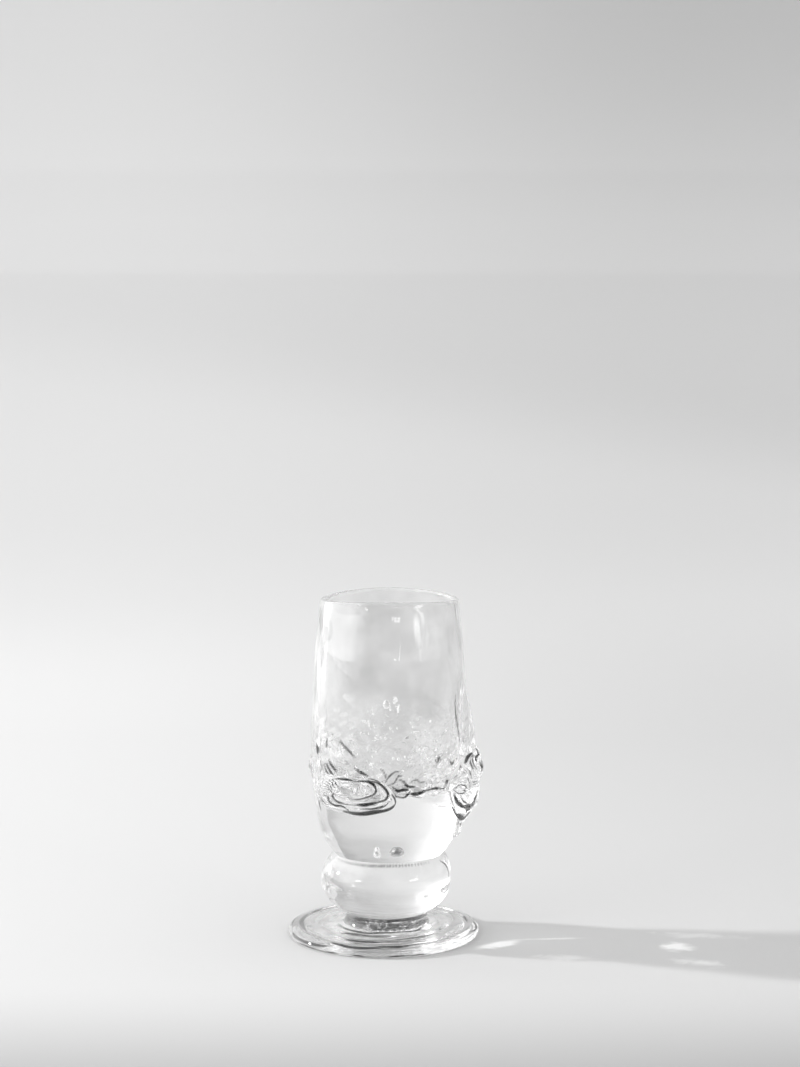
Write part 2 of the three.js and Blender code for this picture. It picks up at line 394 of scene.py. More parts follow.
# pitch and depth of the striae, pitch of the smudges, most roughness, deepest and clearest tint
bowlGlass = clearGlass("blown bowl glass", 95, 1.1, 60, 0.05, 0.86, 0.98)
gatherGlass = clearGlass("base gather glass", 60, 0.4, 60, 0.01, 0.96, 1.0)
stemGlass = clearGlass("stem glass", 80, 0.5, 110, 0.02, 0.92, 1.0)
footGlass = clearGlass("foot glass", 90, 0.6, 55, 0.02, 0.97, 1.0)
lugGlass = clearGlass("lug glass", 110, 0.7, 60, 0.015, 0.95, 1.0)
join = hotJoin()
air = trappedAir("trapped air", 0.8, 0.96)
# the first deep bubble is painted darker, a painted shade, with less painted glow
paintedDarkAir = trappedAir("painted dark trapped air", 0.15, 0.45)
print("materials ready")

# camera, with its place in metres and how many degrees it looks down

cameraForm = {"place": (0.0068, -0.8497, 0.2361), "down": 4.79, "lens": 70.86, "sensor": 36}
camera = bringIn("camera", bpy.data.cameras.new("camera"))
camera.location = cameraForm["place"]
camera.rotation_euler = (np.radians(90 - cameraForm["down"]), 0, 0)
camera.data.lens = cameraForm["lens"]
camera.data.sensor_width = cameraForm["sensor"]
bpy.context.scene.camera = camera

# foot, neck and knop, turned by one tree of nodes

footForm = {
    "rimThickness": 3.3, "landWidth": 4.5, "hollowDepth": 0.9,
    "bead": 0.35, "beadIn": 1.6, "beadWidth": 1.3, "dipIn": 4.2, "dipWidth": 0.9,
    "ringDepth": 0.11, "ringPitch": 5.6,
    "turns": 320, "unevenness": 0.3, "dentPitch": 60.0, "seed": 3,
}
neckForm = {
    # darkness is how dark the neck's painted shade is; the curls and wavy gaps are left clear of it
    "radius": 16.7, "flare": 1.0, "darkness": 0.52,
    "curlWidth": 0.5, "shadeGapWaves": (61, 26, 5.5, 12), "shadeGaps": 0.5, "shadeGapEdge": (0.08, 0.35),
    "turns": 260, "unevenness": 0.5, "dentPitch": 170.0, "seed": 11,
}
knopForm = {
    "radius": 26.5, "widestShare": 0.62, "creaseRadius": 22.4, "fullness": 3.2,
    "turns": 300, "unevenness": 0.4, "dentPitch": 75.0, "seed": 7,
}
neckEnd = neckForm["radius"] + neckForm["flare"]


def makeTurnedTree():
    tree = bpy.data.node_groups.new("turned glass", "GeometryNodeTree")
    addSockets(tree, "INPUT", [
        ("Profile", "Geometry"), ("Turn Steps", "Int", 240),
        ("Unevenness", "Float", 0.0), ("Unevenness Pitch", "Float", 90.0),
        ("Ring Depth", "Float", 0.0), ("Ring Pitch", "Float", 0.005), ("Seed", "Float", 0.0),
        ("Glass", "Material"), ("Join", "Material")])
    addSockets(tree, "OUTPUT", [("Geometry", "Geometry")])
    entry = newNode(tree, "NodeGroupInput").outputs
    plus, minus, times, over, maths = sumsOf(tree, "ADD", "SUBTRACT", "MULTIPLY", "DIVIDE")
    count = newNode(tree, "GeometryNodeAttributeDomainSize", {
        "Geometry": entry["Profile"]}).outputs["Point Count"]
    columns = plus(entry["Turn Steps"], 1.0)
    grid = newNode(tree, "GeometryNodeMeshGrid", {"Vertices X": count, "Vertices Y": columns}).outputs["Mesh"]
    index = outOf(tree, "GeometryNodeInputIndex")
    row = maths("FLOOR", over(plus(index, 0.5), columns))
    column = minus(index, times(row, columns))
    angle = times(over(column, entry["Turn Steps"]), fullTurn)

    def fromProfile(name, kind):
        named = newNode(tree, "GeometryNodeInputNamedAttribute", {"Name": name}, data_type=kind)
        return newNode(tree, "GeometryNodeSampleIndex", {
            "Geometry": entry["Profile"], "Index": row, "Value": named.outputs["Attribute"]},
            data_type=kind).outputs["Value"]

    place = newNode(tree, "ShaderNodeSeparateXYZ", {0: fromProfile("place", "FLOAT_VECTOR")}).outputs
    facing = newNode(tree, "ShaderNodeSeparateXYZ", {0: fromProfile("facing", "FLOAT_VECTOR")}).outputs
    loose = fromProfile("loose", "FLOAT")
    lean = fromProfile("lean", "FLOAT")
    joined = fromProfile("joined", "FLOAT")
    sine, cosine = maths("SINE", angle), maths("COSINE", angle)
    spot = outOf(tree, "ShaderNodeCombineXYZ", {
        0: times(place[0], sine), 1: times(place[0], cosine), 2: place[2]})
    noise = outOf(tree, "ShaderNodeTexNoise", {
        "Vector": spot, "W": entry["Seed"], "Scale": entry["Unevenness Pitch"], "Detail": 1.0},
        noise_dimensions="4D")
    dents = times(minus(noise, 0.5), times(entry["Unevenness"], 2.0))
    ringed = maths("SINE", times(over(place[0], entry["Ring Pitch"]), fullTurn))
    rings = times(ringed, entry["Ring Depth"])
    stand = times(plus(dents, rings), loose)
    radius = plus(place[0], times(facing[0], stand))
    height = plus(place[2], times(facing[2], stand))
    spun = outOf(tree, "ShaderNodeCombineXYZ", {
        0: plus(lean, times(radius, sine)),
        1: times(times(radius, cosine), -1.0),
        2: height})
    # the values are stored before the points move, so that every row keeps its own
    kept = outOf(tree, "GeometryNodeStoreNamedAttribute", {
        "Geometry": grid, "Name": "joined", "Value": joined}, data_type="FLOAT", domain="POINT")
    moved = outOf(tree, "GeometryNodeSetPosition", {"Geometry": kept, "Position": spun})
    isJoined = newNode(tree, "GeometryNodeInputNamedAttribute", {"Name": "joined"}, data_type="FLOAT")
    whole = maths("GREATER_THAN", isJoined.outputs["Attribute"], 0.99)
    closed = outOf(tree, "GeometryNodeMergeByDistance", {"Geometry": moved, "Distance": 1e-6})
    flipped = outOf(tree, "GeometryNodeFlipFaces", {"Mesh": closed})
    smooth = outOf(tree, "GeometryNodeSetShadeSmooth", {"Geometry": flipped})
    real = outOf(tree, "GeometryNodeRealizeInstances", {"Geometry": smooth})
    glazed = outOf(tree, "GeometryNodeSetMaterial", {
        "Geometry": real, "Material": entry["Glass"]})
    fused = outOf(tree, "GeometryNodeSetMaterial", {
        "Geometry": glazed, "Selection": whole, "Material": entry["Join"]})
    newNode(tree, "NodeGroupOutput", {"Geometry": fused})
    return tree


turnedTree = makeTurnedTree()


def applyTree(host, tree, values):
    # sets a tree's inputs by their identifiers, and gives back the result as a plain mesh
    modifier = host.modifiers.new("nodes", "NODES")
    modifier.node_group = tree
    for item in tree.interface.items_tree:
        if item.item_type == "SOCKET" and item.in_out == "INPUT" and item.name in values:
            modifier[item.identifier] = values[item.name]
    graph = bpy.context.evaluated_depsgraph_get()
    made = bpy.data.meshes.new_from_object(host.evaluated_get(graph))
    host.modifiers.remove(modifier)
    host.data = made
    return host


def turnProfile(name, form, profile, joined, loose, glass):
    # profile as [radius, height] in millimetres, running up the outside from axis to axis
    profile = np.array(profile, float)
    along = np.gradient(profile, axis=0)
    facing = np.stack([along[:, 1], np.zeros(len(along)), -along[:, 0]], -1)
    facing /= np.maximum(np.linalg.norm(facing, axis=1), 1e-9)[:, None]
    place = np.stack([profile[:, 0], np.zeros(len(profile)), profile[:, 1]], -1) * mm
    line = bpy.data.meshes.new(name)
    line.from_pydata(place.tolist(), [], [])
    for key, values in (("place", place), ("facing", facing), ("lean", leanAt(profile[:, 1]) * mm),
                        ("joined", np.array(joined, float)), ("loose", np.array(loose, float))):
        kind, part = ("FLOAT_VECTOR", "vector") if values.ndim == 2 else ("FLOAT", "value")
        line.attributes.new(key, kind, "POINT").data.foreach_set(part, values.ravel())
    piece = applyTree(bringIn(name, line), turnedTree, {
        "Turn Steps": form["turns"], "Seed": float(form["seed"]), "Glass": glass, "Join": join,
        "Unevenness": form["unevenness"] * mm, "Unevenness Pitch": form["dentPitch"],
        "Ring Depth": form.get("ringDepth", 0) * mm, "Ring Pitch": form.get("ringPitch", 5) * mm})
    piece.data.attributes.remove(piece.data.attributes["joined"])
    showSharp(piece.data)
    return piece


def disc(fromRadius, toRadius, height, steps):
    return [[radius, height] for radius in np.linspace(fromRadius, toRadius, steps)]


def turnPost(name, form, side, loose):
    # a post that is fused on to what stands below and above it
    low, high = disc(0, side[0][0], side[0][1], 5)[:-1], disc(side[-1][0], 0, side[-1][1], 5)[1:]
    joined = [1] * (len(low) + 1) + [0] * (len(side) - 2) + [1] * (len(high) + 1)
    loose = [0] * len(low) + list(loose) + [0] * len(high)
    return turnProfile(name, form, low + side + high, joined, loose, stemGlass)


def makeFoot():
    form = footForm
    half = form["rimThickness"] / 2
    rimMiddle = footRadius - half
    landInner = rimMiddle - form["landWidth"]
    across = np.sin(np.linspace(0, np.pi / 2, 80))
    hollow = [[landInner * share, form["hollowDepth"] * (1 - share ** 5)] for share in across]
    turns = np.linspace(-np.pi / 2, np.pi / 2, 22)
    rim = [[rimMiddle + half * np.cos(turn), half + half * np.sin(turn)] for turn in turns]
    radii = np.linspace(rimMiddle, neckEnd, 84)[1:]
    bead = 0.5 * bump(radii, rimMiddle - form["beadIn"], form["beadWidth"])
    bead = form["bead"] * (bead - bump(radii, rimMiddle - form["dipIn"], form["dipWidth"]))
    fall = (footTop - form["rimThickness"]) * ((radii - neckEnd) / (rimMiddle - neckEnd)) ** 2
    top = np.stack([radii, footTop - fall + bead], -1).tolist()
    centre = disc(neckEnd, 0, footTop, 6)[1:]
    profile = hollow + rim + top + centre
    joined = [0] * (len(hollow) + len(rim) + len(top) - 1) + [1] * (len(centre) + 1)
    # the top ripples between neck and rim, and the hollow more faintly inside the ring that it stands on
    radius = np.array(profile)[:, 0]
    row = np.arange(len(profile))
    upper = ease(radius, neckEnd, neckEnd + 4) * (1 - ease(radius, rimMiddle - 2, rimMiddle))
    loose = np.where(row >= len(hollow) + len(rim), upper, 0)
    loose = np.where(row < len(hollow), 0.6 * (1 - ease(radius, landInner - 3, landInner)), loose)
    return turnProfile("foot", form, profile, joined, loose, footGlass)


def makeNeck():
    share = (np.linspace(footTop, neckTop, 22) - footTop) / (neckTop - footTop)
    radii = neckForm["radius"] + neckForm["flare"] * (2 * share - 1) ** 2
    side = np.stack([radii, np.linspace(footTop, neckTop, 22)], -1).tolist()
    return turnPost("neck", neckForm, side, np.sin(np.pi * share))


def makeKnop():
    form = knopForm
    widest = neckTop + (knopTop - neckTop) * form["widestShare"]
    heights = np.linspace(neckTop, knopTop, 56)
    below = heights < widest
    end = np.where(below, neckEnd, form["creaseRadius"])
    reach = np.where(below, widest - neckTop, knopTop - widest)
    bend = np.where(below, form["fullness"], 2)
    radii = form["radius"] - (form["radius"] - end) * (np.abs(heights - widest) / reach) ** bend
    share = (heights - neckTop) / (knopTop - neckTop)
    loose = ease(share, 0, 0.15) * ease(1 - share, 0, 0.15)
    return turnPost("knop", form, np.stack([radii, heights], -1).tolist(), loose)


scarForm = {"radius": 13.0, "edge": 0.93, "depth": 2.4, "least": 0.25, "rough": 0.9, "lumps": (9.0, 4.5),
            "level": 0.55, "below": 1.5, "clearance": 0.05, "seed": 5}


def scarFoot(foot):
    # the rough pit under the foot where the pontil was snapped off
    form = scarForm
    points = pointsOf(foot)
    x, y, z = points.T / mm
    reach = np.hypot(x, y) / form["radius"]
    rough = 0
    for octave, size in enumerate(form["lumps"]):
        seed = form["seed"] + octave
        wave = waver(x, y, seed, 0, size, 6) + waver(y, x, seed + 9, 0, size, 6)
        rough = rough + (form["level"] - np.abs(np.tanh(wave))) * 0.5 ** octave
    edge = 1 - ease(reach, form["edge"], 1)
    dome = form["depth"] * np.clip(1 - reach ** 2, 0, 1) + form["least"]
    lift = (dome + form["rough"] * rough * edge ** 0.5) * edge
    points[:, 2] += np.where(z < form["below"], np.maximum(lift, form["clearance"] - z), 0) * mm
    foot.data.vertices.foreach_set("co", points.ravel())
    foot.data.update()
    return foot


# painted shade lines on the foot: radius, height, from and to in degrees round it,
# width and shade
footShadeLines = [
    (38.6, 2.6, -78, -28, 0.8, 1.0),
    (38.9, 0.8, -95, 60, 0.45, 0.8),
    (34.4, 3.8, -10, 36, 1.5, 0.95),
    (36.6, 3.4, -40, 2, 1.0, 0.9),
    (31.0, 4.0, -30, -2, 1.2, 0.6),
    (28.0, 4.4, 8, 48, 1.3, 0.55),
    (37.6, 3.2, 60, 118, 0.45, 0.9),
    (35.6, 3.6, 64, 96, 0.35, 0.7),
    (33.5, 3.9, -112, -66, 1.2, 0.4),
    (37.9, 3.0, -116, -78, 0.4, 0.8),
    (19.6, 4.9, -70, 66, 1.2, 0.7),
    (23.8, 4.7, -44, 10, 1.2, 0.5),
]
# how far they wander, with how many waves round and up, and how they slim down
lineLook = {"wander": 0.5, "cycles": 12, "pitch": 60, "slim": 0.6}
# clear curls left in the painted shade on the front of the neck, and painted shade lines on the knop, in
# degrees and millimetres up
neckCurls = [
    ((-26, 8.8), (-22, 6.4), (-18, 8.6), (-14, 6.0)),
    ((-17, 9.4), (-12, 7.4), (-10, 9.2), (-6, 6.2), (-2, 8.6)),
    ((-8, 9.6), (-3, 8.2), (2, 9.2), (5, 7.2), (1, 5.8)),
    ((-30, 6.2), (-24, 5.6), (-16, 5.8)),
    ((10, 8.8), (18, 8.2), (26, 8.8)),
    ((40, 8.4), (46, 7.2), (50, 8.6)),
]
knopShadeLines = [
    (0.4, 0.95, (64, 32.6), (70, 30.4), (73, 27.6), (74, 25.0)),
    (0.35, 0.8, (-74, 31.8), (-79, 28.8), (-81, 25.6)),
    (0.7, 0.38, (-62, 33.2), (-24, 33.0), (10, 33.3), (48, 33.1)),
]


def paintFootShade(foot):
    x, y, z = pointsOf(foot).T / mm
    reach, angle = np.hypot(x, y), np.degrees(np.arctan2(x, -y))
    shade = np.zeros(len(x))
    for radius, height, low, high, wide, dark in footShadeLines:
        along = (angle - low) / (high - low)
        seed = int(radius * 10)
        wander = waver(np.radians(angle), 0 * z, seed, lineLook["cycles"], lineLook["pitch"])
        wander = lineLook["wander"] * wander
        width = wide * np.sin(np.pi * np.clip(along, 0, 1)) ** lineLook["slim"] + 0.01
        away = np.hypot(reach - radius - wander, z - height) / width
        within = (along > 0) & (along < 1)
        shade = np.maximum(shade, np.where(within, dark * (1 - ease(away, *foldEdge["soft"])), 0))
    keepPaintedShade(foot, shade)
    return foot


def paintNeckShade(neck):
    # painted shade on the neck between knop and foot, left clear in curls in front and in wavy gaps
    x, y, z = pointsOf(neck).T / mm
    folds = [(neckForm["curlWidth"], 1.0, *curl) for curl in neckCurls]
    curls = roundShade(folds, neckForm["radius"], x, y, z)
    wave = waver(np.arctan2(x, -y), z, *neckForm["shadeGapWaves"])
    shadeGaps = neckForm["shadeGaps"] * (1 - ease(np.abs(wave), *neckForm["shadeGapEdge"]))
    curls = np.maximum(curls, shadeGaps)
    ends = ease(z, footTop, footTop + 0.6) * (1 - ease(z, neckTop - 0.3, neckTop))
    keepPaintedShade(neck, neckForm["darkness"] * (1 - curls) * ends)
    return neck


def paintKnopShade(knop):
    # painted shade lines on the knop
    x, y, z = pointsOf(knop).T / mm
    shade = roundShade(knopShadeLines, knopForm["radius"], x, y, z)
    keepPaintedShade(knop, shade * ease(np.hypot(x, y), neckEnd, neckEnd + 1))
    return knop


settle(paintFootShade(scarFoot(makeFoot())), "foot")
settle(paintNeckShade(makeNeck()), "neck")
settle(paintKnopShade(makeKnop()), "knop")

# the body: bubble and base gather

bodyForm = {
    "belly": 31.95, "rimRadius": 28.3, "wall": 2.5, "lip": 1.2, "rimSaddle": 0.7,
    "bubbleBottom": 57.0, "corner": 10.5, "floor": 61.2, "innerCorner": 6.5,
    "crease": 22.4, "gatherEdge": 63.5, "edgeWave": 0.56, "edgeRoll": 0.55, "columns": 320,
}
bubbleSide = bodyForm["bubbleBottom"] + bodyForm["corner"]
lipCentre = rimTop - bodyForm["rimSaddle"] - bodyForm["wall"] / 2
bowlSide = curveThrough([
    (0, 0.74), (0.12, 0.93), (0.243, 1), (0.39, 0.93), (0.53, 0.77), (0.69, 0.6), (0.835, 0.33), (1, 0)])
# the waves in the gather's edge: height, cycles round the glass, and shift
edgeWaves = [(1, 3, 0), (0.35, 11, 1.2), (0.25, 23, 0.4)]
gatherSide = curveThrough([(0, 0), (0.0625, 0.17), (0.25, 0.55), (0.63, 0.83), (0.88, 0.97), (1, 1)])

# each ripple in the glass: its height in millimetres, seed, most cycles round, pitch up and number of waves
ripples = {
    "outerSlow": (0.10, 21, 7, 40, 9), "outerFine": (0.035, 22, 22, 60, 9), "drawn": (0.022, 23, 44, 90, 9),
    "innerSlow": (0.11, 41, 8, 36, 9), "innerFine": (0.04, 42, 20, 22, 9), "innerLow": (0.24, 43, 26, 8, 16),
    "mottled": (0.22, 47, 36, 7, 16), "floor": (0.5, 44, 5, 12, 9), "floorEdge": (0.6, 45, 26, 9, 14),
}
# the heights between which each of them comes in or dies away
fades = {"outer": (36, 44), "outerFine": (64, 80), "innerLow": (72, 84),
         "mottled": (62, 72), "mottledOff": (80, 102), "wavyEdge": (50, 63.5)}


def ripple(name, angle, height):
    strength, seed, cycles, pitch, count = ripples[name]
    return strength * waver(angle, height, seed, cycles, pitch, count)


def bubbleRadius(height):
    share = (height - bubbleSide) / (lipCentre - bubbleSide)
    rim, corner = bodyForm["rimRadius"], bodyForm["corner"]
    side = rim + (bodyForm["belly"] - rim) * bowlSide(np.clip(share, 0, 1))
    drop = np.clip(bubbleSide - height, 0, corner)
    return side - corner + np.sqrt(corner ** 2 - drop ** 2)


gatherRadius = bubbleRadius(np.array(bodyForm["gatherEdge"])) + bodyForm["lip"]


def gatherOuter(height):
    share = np.clip((height - knopTop) / (bodyForm["gatherEdge"] - knopTop), 0, 1)
    return bodyForm["crease"] + (gatherRadius - bodyForm["crease"]) * gatherSide(share)


# The wall is drawn out into a fan above each lug: angle and height of its apex and of its foot, half its width
# there, how far it stands out, how crisp its ridge is, and how deep the crease along its edges.
fanLook = {"narrowing": 0.72, "creaseWidth": 0.55, "inside": 0.35}
fans = [
    (83, 112, 83, 78.6, 11.0, 3.6, 1.3, 0.3),
    (-52, 90, -40, 69.5, 14.0, 2.6, 1.1, 0.55),
    (-126, 104, -126, 78.0, 12.0, 1.6, 1.8, 0.0),
    (158, 98, 158, 74.5, 14.0, 0.9, 2.2, 0.0),
]
fanRise = curveThrough([(0, 1), (0.27, 0.72), (0.6, 0.17), (0.9, -0.1), (1.35, 0)])


def turnFrom(angle, degrees):
    apart = angle - np.radians(degrees)
    return np.arctan2(np.sin(apart), np.cos(apart))


def drawnOut(angle, height):
    total = 0
    for apexAngle, apex, footAngle, foot, across, out, crisp, crease in fans:
        up = (height - foot) / (apex - foot)
        climb = np.clip(up, 0, 1)
        side = turnFrom(angle, footAngle + (apexAngle - footAngle) * climb) * bodyForm["belly"]
        width = across * (1 - fanLook["narrowing"] * climb)
        tent = np.clip(1 - np.abs(side / width) ** crisp, 0, 1)
        below = ease(height, bodyForm["gatherEdge"], foot)
        edge = bump(np.abs(side), width, fanLook["creaseWidth"]) * below * (1 - ease(up, 0.3, 0.9))
        total = total + out * tent * below * fanRise(np.clip(up, 0, 1.35)) - crease * edge
    return total


def outerRipple(angle, height):
    fine = ripple("outerFine", angle, height) + ripple("drawn", angle, height)
    fine = fine * ease(height, *fades["outerFine"])
    return ease(height, *fades["outer"]) * (ripple("outerSlow", angle, height) + fine)


def edgeHeight(angle):
    wave = sum(high * np.sin(cycles * angle + shift) for high, cycles, shift in edgeWaves)
    return bodyForm["gatherEdge"] + bodyForm["edgeWave"] * wave


def bowlOuter(angle, height):
    return bubbleRadius(height) + drawnOut(angle, height) + outerRipple(angle, height)


def gatherSurface(angle, height):
    # the gather's outer side, which keeps its step out from the bubble along the wavy edge
    shift = (edgeHeight(angle) - bodyForm["gatherEdge"]) * ease(height, *fades["wavyEdge"])
    return gatherOuter(height - shift) + drawnOut(angle, height) + outerRipple(angle, height)


def bodySurface(angle, height):
    # what a lug sits on
    above = ease(height, edgeHeight(angle) - 0.6, edgeHeight(angle) + 0.4)
    return gatherSurface(angle, height) * (1 - above) + bowlOuter(angle, height) * above


# lugs

# Each lug is laid out flat, in millimetres to the right of its angle and above its middle. Its folds gather
# round its heart, and its rings say how far out they lie, as shares of the way to the outline.
# The two numbers of its crown say how far in and how steeply it rounds over towards the outline.
lugForms = {
    "prunt_right": {
        "angle": 83, "middle": 63.1, "heart": (-3.0, 0.5), "proud": 5.85, "seed": 31, "kind": "ear",
        "crown": (6, 0.6), "rough": 0.05, "bulge": 0.2, "under": 1.5,
        "rings": [0.6], "spokes": 440, "steps": 70,
        "folds": [
            (0.5, 1.0, (-10.2, 10.0), (-7.4, 12.0), (-4.4, 13.3)),
            (1.1, 0.95, (-7.6, 7.0), (-7.0, 9.6), (-4.8, 12.4)),
            (0.5, 0.85, (-4.6, 6.6), (-4.2, 9.4), (-3.0, 12.2)),
            (0.7, 1.0, (-2.4, 9.4), (-1.6, 12.0), (-1.4, 14.4)),
            (0.6, 0.8, (-1.0, 8.6), (-0.2, 6.6), (-0.6, 4.6)),
            (0.35, 0.8, (-10.4, 7.6), (-10.5, 6.3), (-10.1, 4.9)),
            (0.8, 0.75, (0.0, 9.0), (1.2, 7.4), (1.4, 5.6)),
            (0.28, 0.7, (-11.0, 3.0), (-8, 2.3), (-4.5, 2.3)),
            (0.25, 0.6, (-10.0, 1.7), (-7, 1.2), (-4.0, 1.4)),
            (1.3, 1.0, (-3.4, -2.4), (-4.4, -4.6), (-8.2, -6.2)),
            (0.6, 0.95, (-17.8, -1.4), (-15.6, -4.4), (-12.4, -6.8), (-9.6, -7.8)),
            (0.35, 0.8, (-15.6, -2.4), (-13.4, -4.6), (-10.8, -5.8), (-8.2, -5.6)),
            (1.4, 1.0, (-11.6, -7.0), (-8.5, -7.6), (-5.0, -7.0)),
            (1.2, 1.0, (-9.0, -8.2), (-7.4, -9.2), (-5.8, -8.4)),
            (0.5, 0.9, (-15.2, -7.0), (-12.6, -9.6), (-9.0, -11.6)),
            (1.2, 1.0, (-12.0, -9.6), (-9.2, -11.4), (-6.0, -12.8)),
            (1.1, 1.0, (-7.2, -12.6), (-5.0, -11.8), (-3.2, -11.6)),
            (0.32, 0.75, (-18.2, 0.9), (-16.4, 2.6), (-14, 1.6), (-14.2, -0.6), (-16.6, -0.9),
             (-18.2, 0.9)),
            (0.3, 0.7, (-13.0, 5.6), (-11.8, 2.0), (-11.2, -1.4)),
        ],
        "outline": [(0, 15.6), (0.6, 15.2), (4.5, 13.6), (9.8, 11.4), (15.5, 7), (19.3, 1.9), (17, -2.8),
                    (10.6, -8.6), (6.0, -12), (0, -15.3), (-6.0, -13.8), (-11.0, -10.9), (-15.2, -7.0),
                    (-18.2, -2.9), (-19.3, 1.9), (-15.5, 7), (-9.8, 11.4), (-4.5, 13.6), (-0.6, 15.2)],
    },
    "prunt_front_left": {
        "angle": -30, "middle": 63.5, "heart": (4.0, 1.4), "proud": 4.9, "seed": 32, "kind": "eye",
        "crown": (7, 0.6), "rough": 0.04, "bulge": 0.4, "under": 1.3,
        "rings": [0.38, 0.6, 0.8], "spokes": 440, "steps": 70,
        "folds": [
            (0.42, 0.95, (3.4, 5.6), (6.6, 5.9), (10.6, 5.0), (12.0, 2.6), (10.4, 0.4), (5.6, -1.4),
             (1.0, -1.8)),
            (0.42, 0.95, (8.6, 6.2), (12.6, 5.2), (15.4, 3.0), (16.4, 0.6), (14.6, -1.4), (9.6, -2.6),
             (3.6, -3.6), (-1.6, -3.4)),
            (0.75, 0.9, (4.6, -3.5), (8.0, -3.3), (11.6, -2.5)),
            (0.55, 1.0, (-0.6, -6.2), (5.0, -6.3), (10.6, -6.0), (15.6, -5.0), (18.6, -3.2), (18.8, -1.2),
             (17.6, 1.0)),
            (0.8, 1.0, (6.0, -6.3), (10.6, -6.0), (15.0, -5.1)),
            (0.35, 0.75, (6.0, -4.9), (11.0, -4.5), (15.2, -3.3), (17.0, -1.6)),
            (0.4, 0.9, (-8.9, -1.6), (-7.4, -3.6), (-4.6, -4.6), (-1.2, -4.6), (1.4, -6.0)),
            (0.4, 0.9, (-6.9, 1.8), (-6.0, -1.2), (-4.0, -3.0), (-1.0, -3.4)),
            (0.32, 0.9, (-6.4, 5.6), (-5.0, 4.2), (-4.4, 2.2)),
            (0.3, 0.85, (-5.2, 6.2), (-3.6, 4.4), (-2.8, 1.6)),
            (0.28, 0.8, (-7.6, 4.6), (-6.2, 3.0), (-5.8, 1.0)),
            (0.28, 0.8, (-9.0, 3.6), (-7.6, 2.2), (-7.2, 0.4)),
            (0.4, 0.9, (-4.2, 6.2), (0.4, 6.3), (3.8, 5.7)),
            (1.6, 0.14, (-2.0, 3.8), (-0.6, 0.6), (2.0, -1.0)),
            (1.3, 0.22, (13.6, 0.8), (12.0, -0.7), (8.0, -1.7)),
        ],
        "outline": [(0, 7.2), (6.5, 7.1), (11.5, 6.3), (15.8, 4.2), (18.7, 0.8), (19.4, -2.9),
                    (16.5, -5.7), (8, -7.0), (0, -7.2), (-10, -6.7), (-16, -4.2), (-17.9, 0.9),
                    (-14.8, 4.8), (-9.6, 6.8)],
    },
    "prunt_back_left": {
        "angle": -126, "middle": 67.2, "heart": (0, 0), "proud": 4.4, "seed": 33, "kind": "fold",
        "crown": (3, 0.8), "rough": 0.05, "bulge": 0.3, "under": 0.6,
        "rings": [0.55], "spokes": 300, "steps": 70,
        "folds": [],
        "outline": [(0, 10.8), (8.6, 8.7), (15.0, 1.3), (11.2, -6.1), (0, -10.8), (-11.2, -6.1),
                    (-15.0, 1.3), (-8.6, 8.7)],
    },
    "prunt_back_right": {
        "angle": 158, "middle": 63.1, "heart": (0, 0), "proud": 4.4, "seed": 34, "kind": "melt",
        "crown": (2, 1.8), "rough": 0.42, "bulge": 0.0, "under": 0.0,
        "rings": [], "spokes": 300, "steps": 70,
        "folds": [],
        "outline": [(0, 11.5), (9, 9.2), (17.2, 1.4), (11.2, -6.4), (0, -11.5), (-11.2, -6.4),
                    (-17.2, 1.4), (-9, 9.2)],
    },
    "trickle": {
        "angle": 83, "middle": 43.8, "heart": (0, 0), "proud": 2.0, "seed": 35, "kind": "drop",
        "crown": (2, 0.5), "rough": 0.03, "bulge": 0.1, "under": 0.2,
        "rings": [], "spokes": 90, "steps": 24,
        "folds": [
            (1.1, 0.45, (-0.4, 3.0), (-0.5, 0), (-0.2, -2.8)),
        ],
        "outline": [(0, 3.5), (1.3, 2.2), (1.7, 0), (1.5, -2.2), (0, -3.5), (-1.5, -2.2), (-1.7, 0),
                    (-1.3, 2.2)],
    },
}


def roundOutline(points, heart, steps=720):
    # a smooth closed line through the points, as angle and reach from the heart
    points = np.array(points, float) - heart
    place = np.linspace(0, len(points), steps, endpoint=False)
    k = place.astype(int)
    nearest = [points[(k + shift) % len(points)] for shift in (-1, 0, 1, 2)]
    side, up = between(*nearest, (place - k)[:, None]).T
    angle = np.arctan2(up, side)
    order = np.argsort(angle)
    return angle[order], np.hypot(side, up)[order]


for form in lugForms.values():
    form["line"] = roundOutline(form["outline"], form["heart"])


def reachOf(form, direction):
    return np.interp(direction, *form["line"], period=fullTurn)


def lugCover(form, angle, height):
    # below 1 inside the lug's outline, with the distance to it along the same line
    side = turnFrom(angle, form["angle"]) * bodyForm["belly"] - form["heart"][0]
    up = height - form["middle"] - form["heart"][1]
    direction = np.arctan2(up, side)
    reach = reachOf(form, direction)
    return np.hypot(side, up) / reach, reach, direction


def ringsOf(form, direction):
    # where each fold lies in each direction from the heart
    top = np.clip(np.sin(direction), 0, 1) ** 2
    down = ease(-np.sin(direction), -0.15, 0.35)
    wobble = [0.012 * np.sin(2 * direction + k) + 0.008 * np.sin(5 * direction + 2 * k) for k in range(3)]
    if form["kind"] == "eye":
        return [share + raised * top + wobble[k]
                for k, (share, raised) in enumerate(zip(form["rings"], eyeMarks["raised"]))]
    if form["kind"] == "ear":
        return [earMarks["foldHigh"] - earMarks["foldFalls"] * down + wobble[0]]
    return [share + wobble[0] for share in form["rings"]]


def rowShare(form, row, direction):
    # turns a row, counted in fold places, into a share of the way to the outline
    rows = [0, *form["rings"], 1]
    places = [0 * direction, *ringsOf(form, direction), 1 + 0 * direction]
    rho = places[0] + 0 * row
    for k in range(len(rows) - 1):
        f = (row - rows[k]) / (rows[k + 1] - rows[k])
        rho = np.where((f >= 0) & (f <= 1), places[k] + (places[k + 1] - places[k]) * f, rho)
    return rho


def groove(row, at, inside, outside):
    # a sharp crease, with its own width on either side
    away = row - at
    return np.exp(-np.abs(away) / np.where(away < 0, inside, outside))


